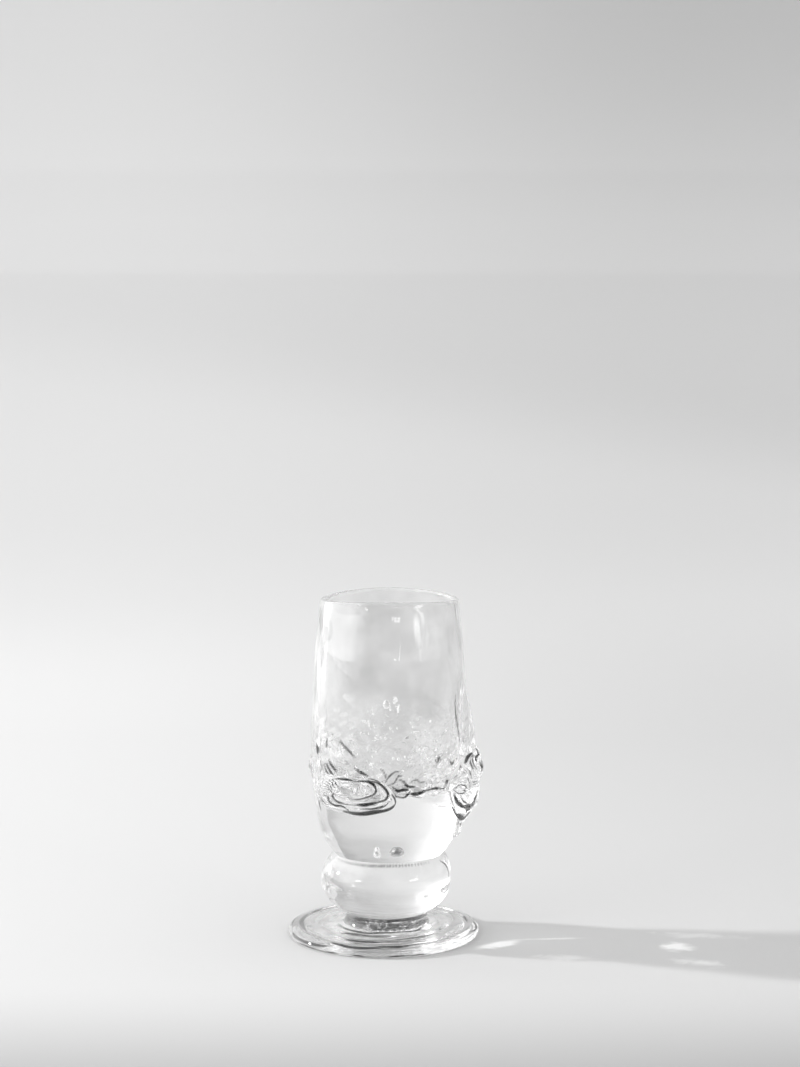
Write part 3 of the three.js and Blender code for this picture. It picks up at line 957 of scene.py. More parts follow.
# how proud the ear stands up its middle, and how the eye's rolls rise from its heart outwards
earProfile = curveThrough([
    (-15.5, 0.62), (-15, 0.66), (-8.4, 0.95), (0, 1.0), (7, 0.90), (11, 0.55), (14.7, 0.33), (15.6, 0.30)])
eyeProfile = curveThrough([
    (0, 0.54), (0.2, 0.52), (0.38, 0.44), (0.49, 0.62), (0.60, 0.60), (0.70, 0.80), (0.80, 0.78), (0.90, 1.0),
    (1, 0.96)])
# the ear's hollow under its pointed hood, the stroke and seams across it, and the fold round its lower side
earMarks = {
    "narrowing": 0.22, "halfWidth": 19.3,
    "hoodTop": 13.0, "hoodTip": -3.5, "hoodSlope": 0.55,
    "hollow": 2.1, "hollowSide": (-4.2, 3.8), "hollowStarts": (-0.2, 0.9), "hollowEnds": (3.5, 8),
    "stroke": 0.8, "strokeSide": (0.6, 1.2), "strokeUp": (8, 5),
    "seams": (3.3, 1.9), "seam": 0.6, "seamSlope": 0.18, "seamWidth": 0.28, "seamSide": (-5.5, 3.2),
    "foldHigh": 0.92, "foldFalls": 0.32, "fold": 1.9, "foldWidths": (0.018, 0.05),
    "roll": 0.5, "rollAt": (0.52, 0.05), "hem": 0.5, "hemAt": (0.80, 0.02, 0.02), "hemSide": (-9, 5),
    "lap": 1.1, "lapAt": (0.575, 0.035),
}
# the eye's ledge above and its thinner left end, its grooves, how far its rolls lap down, and the strokes
# across its left end
eyeMarks = {
    "ledge": 0.44, "ledgeFrom": (-6.5, 0.5), "left": 0.6, "leftFrom": (-8, 4),
    "raised": (0.22, 0.15, 0.08), "grooves": (0.95, 1.15, 1.35), "grooveWidths": (0.030, 0.014),
    "onLedge": 0.35, "strokes": (-12.2, -13.6, -15.0), "stroke": 0.5, "strokeSlope": 0.7,
    "strokeWidth": 0.26, "strokeUp": (-1, 2.5), "lap": 0.5, "lapsAt": (0.58, 0.78), "lapWidth": 0.03,
}
# the back left lug's groove and the dent in its upper right
foldMarks = {"groove": 0.9, "grooveWidths": (0.03, 0.03),
             "dent": 1.2, "dentSide": (9.5, 1.4), "dentUp": (6.2, 2.2)}


def crownOf(form, rho):
    over, steep = form["crown"]
    return (1 - rho ** over) ** steep


def earRelief(form, row, rho, side, up, direction):
    marks = earMarks
    down = ease(-np.sin(direction), 0.0, 0.35)
    narrow = 1 - marks["narrowing"] * np.abs(side / marks["halfWidth"]) ** 1.5
    stand = form["proud"] * earProfile(up) * narrow
    under = marks["hoodTop"] - marks["hoodSlope"] * np.abs(side - marks["hoodTip"]) - up
    hollow = bump(side, *marks["hollowSide"]) * ease(under, *marks["hollowStarts"])
    hollow = hollow * (1 - ease(under, *marks["hollowEnds"]))
    stroke = marks["stroke"] * bump(side, *marks["strokeSide"]) * bump(up, *marks["strokeUp"])
    stand = stand - marks["hollow"] * hollow + stroke
    for line in marks["seams"]:
        seam = marks["seam"] * bump(up + marks["seamSlope"] * side, line, marks["seamWidth"])
        stand = stand - seam * bump(side, *marks["seamSide"])
    # lapped over the petal below
    fold = marks["fold"] * groove(row, form["rings"][0], *marks["foldWidths"])
    lapped = marks["roll"] * bump(row, *marks["rollAt"]) - fold
    lapped = lapped - marks["hem"] * groove(row, *marks["hemAt"]) * bump(side, *marks["hemSide"])
    return stand * crownOf(form, rho) + lapped * down, -marks["lap"] * bump(row, *marks["lapAt"]) * down


def eyeRelief(form, row, rho, side, up, direction):
    marks = eyeMarks
    crown = crownOf(form, rho)
    ledge = atLeast(marks["ledge"], ease(-up, *marks["ledgeFrom"]))
    right = atLeast(marks["left"], ease(side, *marks["leftFrom"]))
    stand = form["proud"] * crown * ledge * eyeProfile(row)
    for at, deep in zip(form["rings"], marks["grooves"]):
        cut = deep * right * groove(row, at, *marks["grooveWidths"])
        stand = stand - cut * atLeast(marks["onLedge"], ledge)
    for line in marks["strokes"]:
        stroke = marks["stroke"] * bump(side + marks["strokeSlope"] * up, line, marks["strokeWidth"])
        stand = stand - stroke * ease(up, *marks["strokeUp"]) * crown
    lap = sum(bump(row, at, marks["lapWidth"]) for at in marks["lapsAt"])
    return np.maximum(stand, 0.05 * (1 - rho)), -marks["lap"] * lap * ease(-np.sin(direction), -0.2, 0.6)


def foldRelief(form, row, rho, side, up, direction):
    marks = foldMarks
    crown = crownOf(form, rho)
    stand = form["proud"] * crown
    stand = stand - marks["groove"] * groove(row, form["rings"][0], *marks["grooveWidths"]) * crown
    stand = stand - marks["dent"] * bump(side, *marks["dentSide"]) * bump(up, *marks["dentUp"]) * crown
    return stand, -1.0 * crown * ease(-up, 0, 8)


def meltRelief(form, row, rho, side, up, direction):
    # this one sank into the wall, so it has no edge of its own
    crown = crownOf(form, rho)
    return form["proud"] * crown, -0.5 * crown * ease(-up, 0, 8)


def dropRelief(form, row, rho, side, up, direction):
    return form["proud"] * crownOf(form, rho) * atLeast(0.75, ease(-up, -3, 2)), 0 * rho


reliefs = {"ear": earRelief, "eye": eyeRelief, "fold": foldRelief, "melt": meltRelief, "drop": dropRelief}


# how rows are spaced by a fold, how deep a fold is cut, where the edge swells, how big the lumps on it are,
# and how a lug bridges the step at the gather's edge
lugLook = {
    "rowStep": 0.017, "rowGap": 0.062, "rowsNear": [0.25, 0.5, 0.8, 1.2, 1.7, 2.4, 3.4],
    "groove": 0.45, "swellAt": (0.8, 0.97), "lumps": (9, 4), "bridge": (0.8, 15.5), "mostBridge": 2,
}


def lugRows(form):
    # rows lie close together where a fold or the edge needs them
    rows = np.sin(np.linspace(0, np.pi / 2, form["steps"]))[1:]
    near = np.array(lugLook["rowsNear"]) * lugLook["rowStep"]
    near = np.concatenate([-near[::-1], [0], near])
    for ring in form["rings"]:
        rows = np.concatenate([rows[np.abs(rows - ring) > lugLook["rowGap"]], ring + near])
    return np.sort(rows)[:, None]


def makeLug(name, form):
    rows = lugRows(form)
    direction = np.linspace(-np.pi, np.pi, form["spokes"], endpoint=False)[None, :]
    reach = reachOf(form, direction)
    lipStep = gatherRadius - bubbleRadius(np.array(bodyForm["gatherEdge"]))

    def spot(row):
        # share of the way to the outline, and the flat place
        rho = rowShare(form, row, direction)
        side = form["heart"][0] + rho * reach * np.cos(direction)
        up = form["heart"][1] + rho * reach * np.sin(direction)
        return rho, side, up

    def beneath(row):
        side, up = spot(row)[1:]
        angle, height = np.radians(form["angle"]) + side / bodyForm["belly"], form["middle"] + up
        return roundPoint(angle, bodySurface(angle, height), height)

    def surface(row):
        rho, side, up = spot(row)
        stand, rise = reliefs[form["kind"]](form, row, rho, side, up, direction)
        # the fold lines are cut in as grooves and are also kept as painted shade on the lug
        shade = foldShade(form["folds"], side, up)
        stand = stand - lugLook["groove"] * shade * (1 - rho ** 4)
        # the edge swells out over its own foot, as hot glass does, and most of all below
        share = np.clip(stand / form["proud"], 0, 1)
        swell = form["bulge"] + form["under"] * np.clip(-np.sin(direction), 0, 1) ** 1.5
        swell = swell * 4 * share * (1 - share) * ease(rho, *lugLook["swellAt"])
        angle = np.radians(form["angle"]) + (side + swell * np.cos(direction)) / bodyForm["belly"]
        height = form["middle"] + up + rise + swell * np.sin(direction)
        coarse, fine = lugLook["lumps"]
        rough = waver(side / coarse, up, form["seed"], 6, coarse)
        rough = rough + 0.5 * waver(side / fine, up, form["seed"] + 50, 6, fine)
        stand = stand + form["rough"] * (1 - rho ** 4) ** 2 * rough
        # it bridges the step that the gather's lip makes
        above = height - bodyForm["gatherEdge"]
        filled = bowlOuter(angle, height) + lipStep * (1 - ease(above, *lugLook["bridge"]))
        filled = np.where(above > 0, filled - bodySurface(angle, height), 0)
        stand = stand + np.clip(filled, 0, lugLook["mostBridge"]) * (1 - rho ** 6)
        return roundPoint(angle, bodySurface(angle, height) + stand, height), shade

    centre = np.zeros((1, 1))
    outer, shade = surface(rows)
    inner = beneath(rows[:-1][::-5])  # the flat underside needs only every fifth row
    poles = [surface(centre)[0][0].mean(0), beneath(centre)[0].mean(0)]
    points = np.concatenate([outer, inner])
    joined = np.zeros(points.shape[:2])
    joined[len(outer) - 1:] = 1
    # the rows run from the crown out to the edge and back in underneath, so the faces are turned over
    lug = turnedPiece(name, points, joined, poles, [lugGlass, join], -1)
    keepPaintedShade(lug, np.concatenate([shade.ravel(), np.zeros(inner[..., 0].size + len(poles))]))
    return lug


def snapToLugs(angle, height, cell):
    # moves grid points that lie near a lug's outline on to it
    for form in lugForms.values():
        cover, reach, direction = lugCover(form, angle, height)
        apart = (cover - 1) * reach
        near = (np.abs(apart) < 0.5 * cell) & (cover < 1.6)
        angle = np.where(near, angle - apart * np.cos(direction) / bodyForm["belly"], angle)
        height = np.where(near, height - apart * np.sin(direction), height)
    return angle, height


def underLug(angle, height):
    # for each quad above and right of a grid point, whether its middle lies under a lug
    after = np.roll(angle, -1, axis=1)
    after = np.where(after < angle, after + fullTurn, after)
    middleAngle = (angle[:-1] + after[:-1] + angle[1:] + after[1:]) / 4
    upright = np.roll(height, -1, axis=1)
    middleHeight = (height[:-1] + upright[:-1] + height[1:] + upright[1:]) / 4
    under = np.zeros(middleAngle.shape, bool)
    for form in lugForms.values():
        under |= lugCover(form, middleAngle, middleHeight)[0] < 1
    return np.concatenate([under, under[-1:]])


columns = bodyForm["columns"]
around = np.linspace(0, fullTurn, columns, endpoint=False)[None, :]
cell = fullTurn * bodyForm["belly"] / columns


def flatUnder(shares):
    # the bubble's flat underside
    radius = bowlOuter(around, np.full_like(around, bodyForm["bubbleBottom"]))
    return roundPoint(around, radius * shares, bodyForm["bubbleBottom"] + 0 * shares)


def roundedUnder(shares):
    # its rounded corner, from the underside up to the gather's wavy edge
    start = np.arccos(np.clip((bubbleSide - edgeHeight(around)) / bodyForm["corner"], -1, 1))
    height = bubbleSide - bodyForm["corner"] * np.cos(start * shares)
    return roundPoint(around, bowlOuter(around, height), height)


def poleAt(height):
    return [leanAt(height), 0, height]


def makeGather():
    form = bodyForm
    edge = edgeHeight(around)
    inward = np.linspace(0, form["crease"], 7)[1:-1, None]
    bottom = roundPoint(around, inward, knopTop + 0 * inward)
    sideTop = edge - form["edgeRoll"]
    height = knopTop + (sideTop - knopTop) * np.linspace(0, 1, 62)[:, None]
    angle, height = snapToLugs(around + 0 * height, height, cell)
    height[0] = knopTop
    side = roundPoint(angle, gatherSurface(angle, height), height)
    # the lip rolls over on to the bubble
    start, end = gatherSurface(around, sideTop), bowlOuter(around, edge)
    roll = np.linspace(0, np.pi / 2, 9)[1:, None]
    lipHeight = sideTop + form["edgeRoll"] * np.sin(roll)
    lip = roundPoint(around, end + (start - end) * np.cos(roll), lipHeight)
    lipUnder = sum(lugCover(lug, around, lipHeight)[0] < 1 for lug in lugForms.values()) > 0
    lipUnder[-1] = True
    cup = roundedUnder(1 - np.linspace(0, 1, 26)[1:, None])
    floor = flatUnder(np.linspace(1, 0, 7)[1:-1, None])
    points = np.concatenate([bottom, side, lip, cup, floor])
    joined = np.concatenate([np.ones(bottom.shape[:2]), underLug(angle, height), lipUnder,
                             np.ones(cup.shape[:2]), np.ones(floor.shape[:2])])
    poles = [poleAt(knopTop), poleAt(form["bubbleBottom"])]
    return turnedPiece("base_gather", points, joined, poles, [gatherGlass, join])


def saddled(angle, radius, height):
    # the lip stands higher in front and behind than at its sides
    near = ease(height, rimTop - 30, rimTop)
    return roundPoint(angle, radius, height + bodyForm["rimSaddle"] * np.cos(2 * angle) * near)


# where round the glass the mottled band is calmer, in degrees, and how much
calmSide = {"angle": -85, "width": 40, "share": 0.85}


def innerRadius(angle, height):
    follow = bubbleRadius(np.maximum(height, bubbleSide)) + fanLook["inside"] * drawnOut(angle, height)
    slow = ripple("innerSlow", angle, height) + ripple("innerFine", angle, height)
    slow = slow * (1 - ease(height, rimTop - 6, lipCentre))
    low = ripple("innerLow", angle, height) * (1 - ease(height, *fades["innerLow"]))
    # the mottled band low in the bowl, calmer on its left
    calm = 1 - calmSide["share"] * bump(turnFrom(angle, calmSide["angle"]), 0, np.radians(calmSide["width"]))
    band = ease(height, *fades["mottled"]) * (1 - ease(height, *fades["mottledOff"]))
    mottled = ripple("mottled", angle, height) * calm * band
    return follow + slow + low + mottled - bodyForm["wall"]


def makeBowl():
    form = bodyForm
    edge = edgeHeight(around)
    floor = flatUnder(np.linspace(0, 1, 6)[1:, None])
    cup = roundedUnder(np.linspace(0, 1, 20)[1:-1, None])
    levels = np.concatenate([np.linspace(0, 0.33, 46), np.linspace(0.33, 1, 62)[1:]])[:, None]
    height = edge + (lipCentre - edge) * levels
    angle, height = snapToLugs(around + 0 * height, height, cell)
    outer = saddled(angle, bowlOuter(angle, height), height)
    under = underLug(angle, height)
    under[-1] = False
    turn = np.linspace(0, np.pi, 12)[1:-1, None]
    half = form["wall"] / 2
    rimMiddle = bowlOuter(around, np.full_like(around, lipCentre)) - half
    lip = saddled(around, rimMiddle + half * np.cos(turn), lipCentre + half * np.sin(turn))
    corner = form["innerCorner"]
    innerSide = form["floor"] + corner
    heights = np.linspace(lipCentre, innerSide, 100)[:, None] + 0 * around
    inner = saddled(around, innerRadius(around, heights), heights)
    turn = np.linspace(0, np.pi / 2, 18)[1:, None]
    radius = innerRadius(around, np.full_like(around, innerSide))
    sunk = ripple("floorEdge", around, 0)
    innerCup = roundPoint(around, radius - corner * (1 - np.cos(turn)),
                          innerSide - corner * np.sin(turn) + sunk * np.sin(turn))
    inward = np.linspace(1, 0, 18)[1:-1, None]
    dimple = ripple("floor", around, inward * 20) * (1 - inward ** 6) * ease(inward, 0, 0.3)
    base = roundPoint(around, (radius - corner) * inward, form["floor"] + dimple + sunk * inward ** 4)
    points = np.concatenate([floor, cup, outer, lip, inner, innerCup, base])
    joined = np.zeros(points.shape[:2])
    start = len(floor) + len(cup)
    joined[:start] = 1
    joined[start:start + len(outer)] = under
    poles = [poleAt(form["bubbleBottom"]), poleAt(form["floor"])]
    return turnedPiece("bowl", points, joined, poles, [bowlGlass, join])


# how deep the skin reaches that takes the painted shade lines of the body
skinDepth = (1.2, 0.6)
# painted shade lines on it, in degrees round it and millimetres up
bodyShadeLines = [
    (0.5, 0.9, (-38, 84.6), (-34, 82.4), (-29, 80.2), (-25, 78.4)),
    (0.5, 0.95, (-24.7, 73.9), (-20, 72.3), (-15.1, 71.1)),
    (0.65, 1.0, (-49, 74.4), (-45, 72.2), (-41, 70.6)),
    (0.6, 1.0, (-46.5, 76.4), (-42, 74.0), (-38.5, 72.2)),
    (0.5, 0.9, (-53, 73.4), (-49, 71.4), (-46, 70.2)),
    (0.6, 0.9, (-50.3, 84.4), (-50.6, 82.6), (-50, 80.8)),
    (1.5, 1.0, (-66, 80.6), (-65, 79.0), (-66, 77.4)),
    (0.5, 0.65, (-65, 72.2), (-61, 74.2), (-57, 72.2), (-61, 70.2), (-65, 72.2)),
    (0.45, 0.95, (2, 64.6), (6, 63.2), (11.5, 62.8), (15, 64.0), (20, 63.6), (25, 64.0), (33, 65.0),
     (40, 64.9), (45, 64.2), (52, 66.4)),
    (0.55, 0.8, (3, 66.4), (7, 65.2), (11, 65.6), (15, 65.4)),
    (0.35, 0.6, (16, 68.4), (20, 69.6), (24, 68.2), (29, 68.8)),
    (0.35, 0.5, (-6, 74.6), (-3, 72.4), (-2, 70.2)),
    (0.42, 0.85, (8, 69.8), (11, 69.0), (13, 67.4), (17, 66.4), (20, 66.8)),
    (0.38, 0.7, (-3, 68.4), (0, 71.0), (4, 72.9), (8, 73.3)),
    (0.35, 0.6, (-1, 67.4), (4, 68.6), (7, 71.4), (10, 71.0)),
    (0.8, 0.8, (-68, 58.2), (-67, 56.0), (-66, 53.6)),
    (0.9, 1.0, (51.0, 67.0), (52, 66.7), (53.0, 66.3)),
    (0.5, 0.85, (49.6, 75.8), (52.5, 73.8), (56, 75.2)),
    (0.4, 0.85, (35.6, 77.0), (37.4, 75.6), (39, 77.4), (41, 76.0)),
    (0.55, 0.75, (58.5, 101), (57.3, 95), (59.5, 88), (62.5, 81.5)),
]


def paintBodyShade(piece):
    # only the outer skin takes them
    x, y, height = pointsOf(piece).T / mm
    x = x - leanAt(height)
    outside = bubbleRadius(np.maximum(height, bubbleSide))
    skin = np.where(height < bubbleSide, 1, ease(np.hypot(x, y), *(outside - depth for depth in skinDepth)))
    keepPaintedShade(piece, skin * roundShade(bodyShadeLines, bodyForm["belly"], x, y, height))
    return piece


settle(paintBodyShade(makeGather()), "base_gather")
settle(paintBodyShade(makeBowl()), "bowl")
for lugName, form in lugForms.items():
    settle(makeLug(lugName, form), lugName)

# bubbles and seeds shut in the glass

seedForms = {
    "seeds_upper": {"count": 34, "angles": (-16, 7), "heights": (86.5, 99.5), "size": 0.34, "seed": 12},
    "seeds_lower": {"count": 44, "angles": (-34, 34), "heights": (71.0, 94.0), "size": 0.36, "seed": 4},
}
seedDepth, seedSpread = 1.2, 0.5
# Bubbles big enough to be seen one by one: angle, height, depth below the surface, and half sizes across, up
# and through. Two more lie deep in the gather, given by their place, half sizes and turn: the first is painted
# darker, a painted shade.
bubbles = [
    (-1.8, 99.8, 1.25, 1.45, 1.75, 0.75),
    (-20.0, 88.0, 1.2, 1.0, 0.8, 0.5),
    (-27.0, 87.0, 1.2, 0.9, 0.7, 0.5),
]
deepBubbles = [((4.9, -14.5, 40.0), (2.6, 1.5, 2.8), 0.3), ((-1.8, -14.8, 39.6), (1.3, 2.1, 1.4), -0.4)]


def makeSeedTree():
    tree = bpy.data.node_groups.new("seeds in the wall", "GeometryNodeTree")
    addSockets(tree, "INPUT", [
        ("Count", "Int", 30), ("Seed", "Int", 0), ("Least Angle", "Float", 0.0), ("Most Angle", "Float", 1.0),
        ("Least Height", "Float", 0.08), ("Most Height", "Float", 0.1), ("Radius", "Float", 0.03),
        ("Spread", "Float", 0.0006), ("Size", "Float", 0.0003), ("Lean", "Float", 0.002),
        ("Air", "Material")])
    addSockets(tree, "OUTPUT", [("Geometry", "Geometry")])
    entry = newNode(tree, "NodeGroupInput").outputs
    plus, times, maths = sumsOf(tree, "ADD", "MULTIPLY")

    def randomFloat(low, high, shift):
        return newNode(tree, "FunctionNodeRandomValue", {
            2: low, 3: high, "Seed": plus(entry["Seed"], float(shift))}, data_type="FLOAT").outputs[1]

    points = outOf(tree, "GeometryNodePoints", {"Count": entry["Count"]})
    angle = randomFloat(entry["Least Angle"], entry["Most Angle"], 1)
    height = randomFloat(entry["Least Height"], entry["Most Height"], 2)
    deeper = randomFloat(times(entry["Spread"], -1.0), entry["Spread"], 3)
    radius = plus(entry["Radius"], deeper)
    place = outOf(tree, "ShaderNodeCombineXYZ", {
        0: plus(entry["Lean"], times(radius, maths("SINE", angle))),
        1: times(times(radius, maths("COSINE", angle)), -1.0), 2: height})
    spread = outOf(tree, "GeometryNodeSetPosition", {"Geometry": points, "Position": place})
    ball = newNode(tree, "GeometryNodeMeshIcoSphere", {"Radius": 1.0, "Subdivisions": 3}).outputs["Mesh"]
    ball = outOf(tree, "GeometryNodeSetShadeSmooth", {"Geometry": ball})
    size = times(entry["Size"], randomFloat(0.35, 1.3, 4))
    drawn = outOf(tree, "ShaderNodeCombineXYZ", {0: size, 1: size, 2: times(size, 1.5)})
    placed = outOf(tree, "GeometryNodeInstanceOnPoints", {
        "Points": spread, "Instance": ball, "Scale": drawn})
    real = outOf(tree, "GeometryNodeRealizeInstances", {"Geometry": placed})
    filled = outOf(tree, "GeometryNodeSetMaterial", {"Geometry": real, "Material": entry["Air"]})
    newNode(tree, "NodeGroupOutput", {"Geometry": filled})
    return tree


def makeSeeds(name, form, tree):
    (leftMost, rightMost), (lowest, highest) = form["angles"], form["heights"]
    middle = (lowest + highest) / 2
    return applyTree(bringIn(name, bpy.data.meshes.new(name)), tree, {
        "Count": form["count"], "Seed": form["seed"], "Size": form["size"] * mm, "Air": air,
        "Least Angle": float(np.radians(leftMost)), "Most Angle": float(np.radians(rightMost)),
        "Least Height": lowest * mm, "Most Height": highest * mm,
        "Radius": float(bubbleRadius(np.array(middle)) - seedDepth) * mm, "Spread": seedSpread * mm,
        "Lean": float(leanAt(middle)) * mm})


def ballAt(centre, across, up, through, facing, steps=40):
    # a closed ball of the given half sizes, turned to face outwards at an angle
    ring = np.linspace(0, fullTurn, steps, endpoint=False)[None, :]
    fall = np.linspace(-np.pi / 2, np.pi / 2, steps // 2 + 1)[1:-1, None]
    local = np.stack([across * np.cos(fall) * np.cos(ring), through * np.cos(fall) * np.sin(ring),
                      up * np.sin(fall) + 0 * ring], -1)
    poles = np.array([[0, 0, -up], [0, 0, up]])
    cosine, sine = np.cos(facing), np.sin(facing)
    spin = np.array([[cosine, -sine, 0], [sine, cosine, 0], [0, 0, 1]])
    return local @ spin.T + centre, poles @ spin.T + centre


def makeBubbles():
    balls = []
    for angle, height, depth, *half in bubbles:
        turn = np.radians(angle)
        radius = bubbleRadius(np.array(height)) + drawnOut(turn, np.array(height)) - depth
        balls.append(ballAt(roundPoint(turn, radius, height), *half, turn))
    balls += [ballAt(np.array(place), *half, turn, 64) for place, half, turn in deepBubbles]
    points, faces, slots = np.zeros((0, 3)), [], []
    for number, (rows, poles) in enumerate(balls):
        for part in turnedFaces(*rows.shape[:2]):
            faces += (part + len(points)).tolist()
        points = np.concatenate([points, rows.reshape(-1, 3), poles])
        slots += [int(number == len(bubbles))] * (len(faces) - len(slots))
    return addPiece("bubbles", points, faces, slots, [air, paintedDarkAir])


seedTree = makeSeedTree()
for seedName, form in seedForms.items():
    seeds = makeSeeds(seedName, form, seedTree)
    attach(seeds, "root")
trapped = makeBubbles()
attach(trapped, "root")
print("made the bubbles and seeds")

# floor, backdrop and light

studio = {
    "wallAt": 1.15, "bend": 0.7, "wallTop": 1.4, "wide": 5.0, "thick": 0.002,
    "leftEdge": -0.9, "rightEdge": 0.9,
    "paper": 0.80, "slide": 0.561, "evened": 0.29, "even": 0.98,
    "ambient": 0.86, "throughGlass": 1.15, "surround": 0.50,
    "sunStrength": 2.3, "sunAngle": 3.5, "sunHeading": -11.8, "sunFall": 20,
    "glowFrom": -0.10, "glowTo": -0.85, "glow": 0.75,
}
# painted shade on the paper along x, y or z: from, to, and its shade at either end
paperShades = [(2, 0.0, 0.12, 1.22, 1.10), (2, 0.1, 0.6, 1.0, 0.78), (1, -0.22, -0.07, 0.58, 1.0)]
# painted shade that darkens it from left to right, and how much of that there is from the floor up to the bend
paperTilt = (-0.30, 0.30, 0.12, -0.12)
tiltAt = [(0.0, 0.06, 1.0, 0.50), (0.2, 0.6, 0.0, 0.75)]
# painted shade that only the glass shows, the dim room past the paper's edges
glassShades = [(2, 0.60, 1.10, 1.0, 0.45), (0, 0.35, 0.80, 1.0, 0.85), (1, -0.90, -0.30, 0.10, 1.0)]

# painted pools of light on the paper, in millimetres from the foot's middle: x, y, half length, half width,
# turn, how torn the edge is, and brightness
paintedLightPools = [
    (0, 0, 41, 40, 0, 0.7, 0.68),
    (47, -19, 14, 5.5, 32, 0.8, 0.42),
    (68, -10.5, 20, 2.0, 5, 1.0, 0.2),
    (71, -37, 16, 5, -5, 1.5, 0.13),
    (118, -22, 9, 8, 10, 1.2, 0.36),
    (124, -44, 12, 7, -20, 1.5, 0.2),
    (128, -6, 22, 6, -8, 1.5, 0.12),
]

# patches of the room that the glass shows: azimuth and rise in degrees, half width, half height and softness
# as tangents, and brightness
roomPatches = [
    (0, 89, 1.0, 1.0, 0.5, 0.4),
    (5, 10, 0.6, 0.8, 1.0, 0.42),
    (105, 5, 0.85, 0.4, 0.4, 0.75),
    (-101, 20, 0.6, 0.35, 0.9, 3.2),
    (-52, 12.5, 0.05, 0.025, 0.04, 14.0),
    (12, 1.5, 0.014, 0.008, 0.012, 8.0),
    (50, 0.5, 0.02, 0.11, 0.05, 1.8),
    (50, 8.0, 0.1, 0.035, 0.08, 7.0),
]


def makePaper():
    material, tree = newMaterial("pale paper")
    wall, bend = studio["wallAt"], studio["bend"]
    spot = newNode(tree, "ShaderNodeTexCoord").outputs["Object"]
    place = newNode(tree, "ShaderNodeSeparateXYZ", {0: spot}).outputs
    path = newNode(tree, "ShaderNodeLightPath").outputs
    plus, minus, times, over, maths = sumsOf(tree, "ADD", "SUBTRACT", "MULTIPLY", "DIVIDE")

    def shaded(shade, table):
        for axis, *span in table:
            shade = times(shade, spanned(tree, place[axis], *span))
        return shade

    # the sun slides off the bend of the paper, which painted shade on the paper evens out
    slid = outOf(tree, "ShaderNodeMapRange", {
        "Value": place[1], "From Min": wall - bend, "From Max": wall, "To Max": studio["slide"]})
    sunny = maths("MAXIMUM", minus(minus(1.0, over(place[2], bend)), slid))
    shade = over(studio["paper"], plus(1.0, times(sunny, studio["evened"])))
    shade = shaded(shade, paperShades)
    tilt = [spanned(tree, place[2], *span) for span in tiltAt]
    across = times(spanned(tree, place[0], *paperTilt), plus(*tilt))
    shade = times(shade, plus(across, studio["even"]))
    # painted shade that only the glass shows, with painted window light on its left
    bent = maths("MAXIMUM", path["Is Glossy Ray"], path["Is Transmission Ray"])
    inGlass = times(bent, maths("LESS_THAN", path["Diffuse Depth"], 0.5))
    dim = shaded(1.0, glassShades)
    shade = times(shade, mixed(tree, inGlass, 1.0, dim))
    glow = spanned(tree, place[0], studio["glowTo"], studio["glowFrom"], studio["glow"], 0.0)
    glow = times(times(glow, inGlass), dim)
    # painted light where the glass would gather light on the paper: round its foot, and in its shadow
    wavy = outOf(tree, "ShaderNodeTexNoise", {
        "Vector": spot, "Scale": 95.0, "Detail": 2.0, "Distortion": 1.2})
    pool = 0.0
    for x, y, long, wide, turn, torn, lit in paintedLightPools:
        off = outOf(tree, "ShaderNodeVectorMath", {
            0: spot, 1: (x * mm, y * mm, 0)}, operation="SUBTRACT")
        cosine, sine = np.cos(np.radians(turn)) / mm, np.sin(np.radians(turn)) / mm
        axes = (cosine / long, sine / long, 0), (-sine / wide, cosine / wide, 0)
        along, aside = (dotNode(tree, off, axis) for axis in axes)
        away = maths("SQRT", plus(times(along, along), times(aside, aside)))
        away = plus(away, times(minus(wavy, 0.5), torn))
        pool = plus(pool, spanned(tree, away, 0.1, 1.0, lit, 0.0))
    glow = plus(glow, times(pool, minus(1.0, path["Is Diffuse Ray"])))
    setInputs(tree.nodes["Principled BSDF"], {
        "Base Color": outOf(tree, "ShaderNodeCombineColor", {0: shade, 1: shade, 2: shade}),
        "Roughness": 0.9, "Specular IOR Level": 0.0, "Emission Color": grey(1), "Emission Strength": glow})
    return material


def makeSweep():
    wall, bend, wide, under = studio["wallAt"], studio["bend"], studio["wide"], -studio["thick"]
    xs = np.linspace(studio["leftEdge"], studio["rightEdge"], 7)
    turns = np.linspace(0, np.pi / 2, 40)
    run = [(wall - bend + bend * np.sin(turn), bend - bend * np.cos(turn)) for turn in turns]
    run += [(wall, 1.0), (wall, studio["wallTop"])]
    points = [(x, y, z) for y, z in run for x in xs]
    base, count, start = len(points), len(xs), wall - bend
    faces = [(k, k + 1, k + count + 1, k + count) for k in range(base - count) if (k + 1) % count]
    # the floor in front, and another just below it that closes the room
    points += [(-wide, -wide, 0), (wide, -wide, 0), (wide, start, 0), (-wide, start, 0),
               (wide, wide, under), (-wide, wide, under), (wide, start, under), (-wide, start, under)]
    faces += [(base, base + 1, base + 2, base + 3), (base + 7, base + 6, base + 4, base + 5)]
    mesh = bpy.data.meshes.new("paper sweep")
    mesh.from_pydata(points, [], faces)
    mesh.shade_smooth()
    mesh.materials.append(makePaper())
    bringIn("paper sweep", mesh)


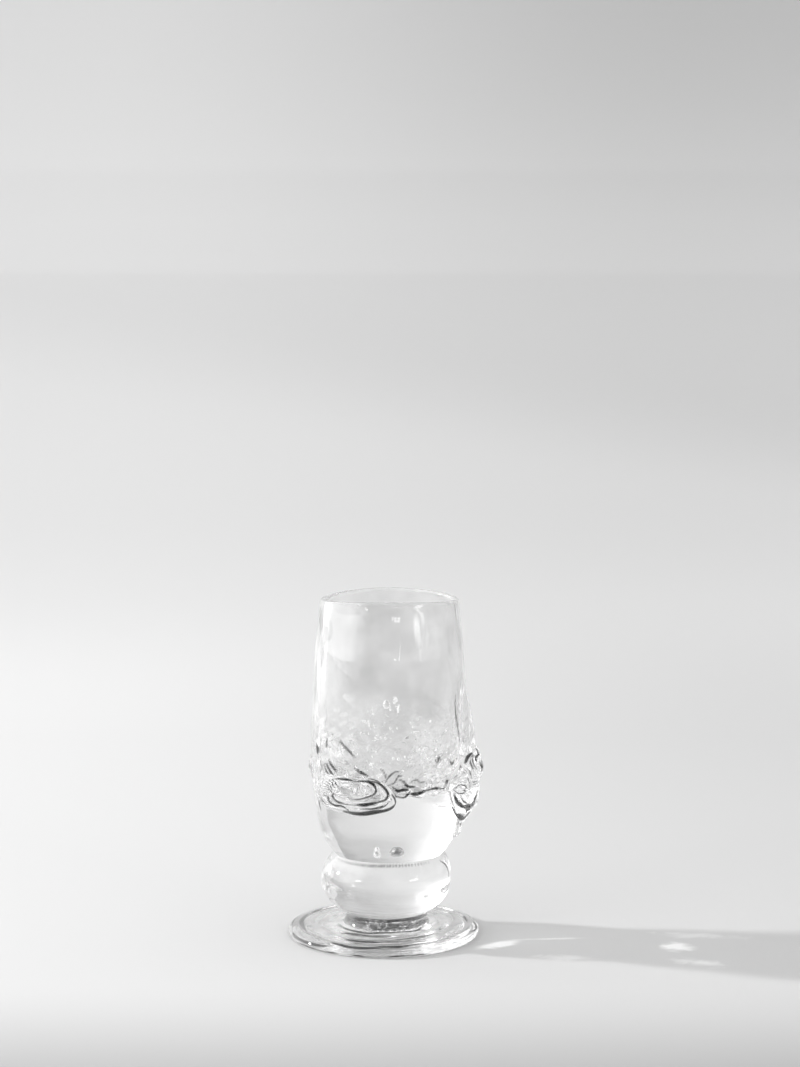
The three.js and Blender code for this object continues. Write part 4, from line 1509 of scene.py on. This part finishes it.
def roomPatch(tree, way, patch, under):
    # lays one soft-edged rectangle of brightness over what is under it
    azimuth, lifted, wide, tall, soft, bright = patch
    turn, rise = np.radians(azimuth), np.radians(lifted)
    ahead = (np.sin(turn) * np.cos(rise), -np.cos(turn) * np.cos(rise), np.sin(rise))
    side = (np.cos(turn), np.sin(turn), 0)
    up = (-np.sin(turn) * np.sin(rise), np.cos(turn) * np.sin(rise), np.cos(rise))
    times, over, maths = sumsOf(tree, "MULTIPLY", "DIVIDE")
    front = dotNode(tree, way, ahead)
    mask = maths("GREATER_THAN", front, 0.02)
    for axis, half in ((side, wide), (up, tall)):
        off = maths("ABSOLUTE", over(dotNode(tree, way, axis), front))
        mask = times(mask, spanned(tree, off, half, half + soft, 1.0, 0.0))
    return mixed(tree, mask, under, bright)


def makeWorld():
    world = bpy.data.worlds.new("studio room")
    bpy.context.scene.world = world
    world.use_nodes = True
    tree = world.node_tree
    way = newNode(tree, "ShaderNodeTexCoord").outputs["Generated"]
    room = studio["surround"]
    for patch in roomPatches:
        room = roomPatch(tree, way, patch, room)
    # matt surfaces are lit evenly, also through the glass, and the camera sees an even grey
    path = newNode(tree, "ShaderNodeLightPath").outputs
    lighting = mathsNode(tree, "GREATER_THAN", path["Diffuse Depth"], 0.5)
    even = mixed(tree, path["Is Transmission Ray"], studio["ambient"], studio["throughGlass"])
    room = mixed(tree, path["Is Camera Ray"], mixed(tree, lighting, room, even), studio["surround"])
    setInputs(tree.nodes["Background"], {"Strength": room, "Color": grey(1)})


def makeSun():
    light = bpy.data.lights.new("low sun", "SUN")
    light.energy = studio["sunStrength"]
    light.angle = np.radians(studio["sunAngle"])
    heading, fall = np.radians(studio["sunHeading"]), np.radians(studio["sunFall"])
    ray = Vector((np.cos(heading) * np.cos(fall), np.sin(heading) * np.cos(fall), -np.sin(fall)))
    bringIn("low sun", light).rotation_euler = ray.to_track_quat("-Z", "Y").to_euler()


makeSweep()
makeWorld()
makeSun()
scene = bpy.context.scene
scene.view_settings.view_transform = "Standard"
# light runs a long way inside the glass before it comes out again
for kind in ("max_bounces", "transmission_bounces", "glossy_bounces", "transparent_max_bounces"):
    setattr(scene.cycles, kind, 96)
print("stage and light ready")
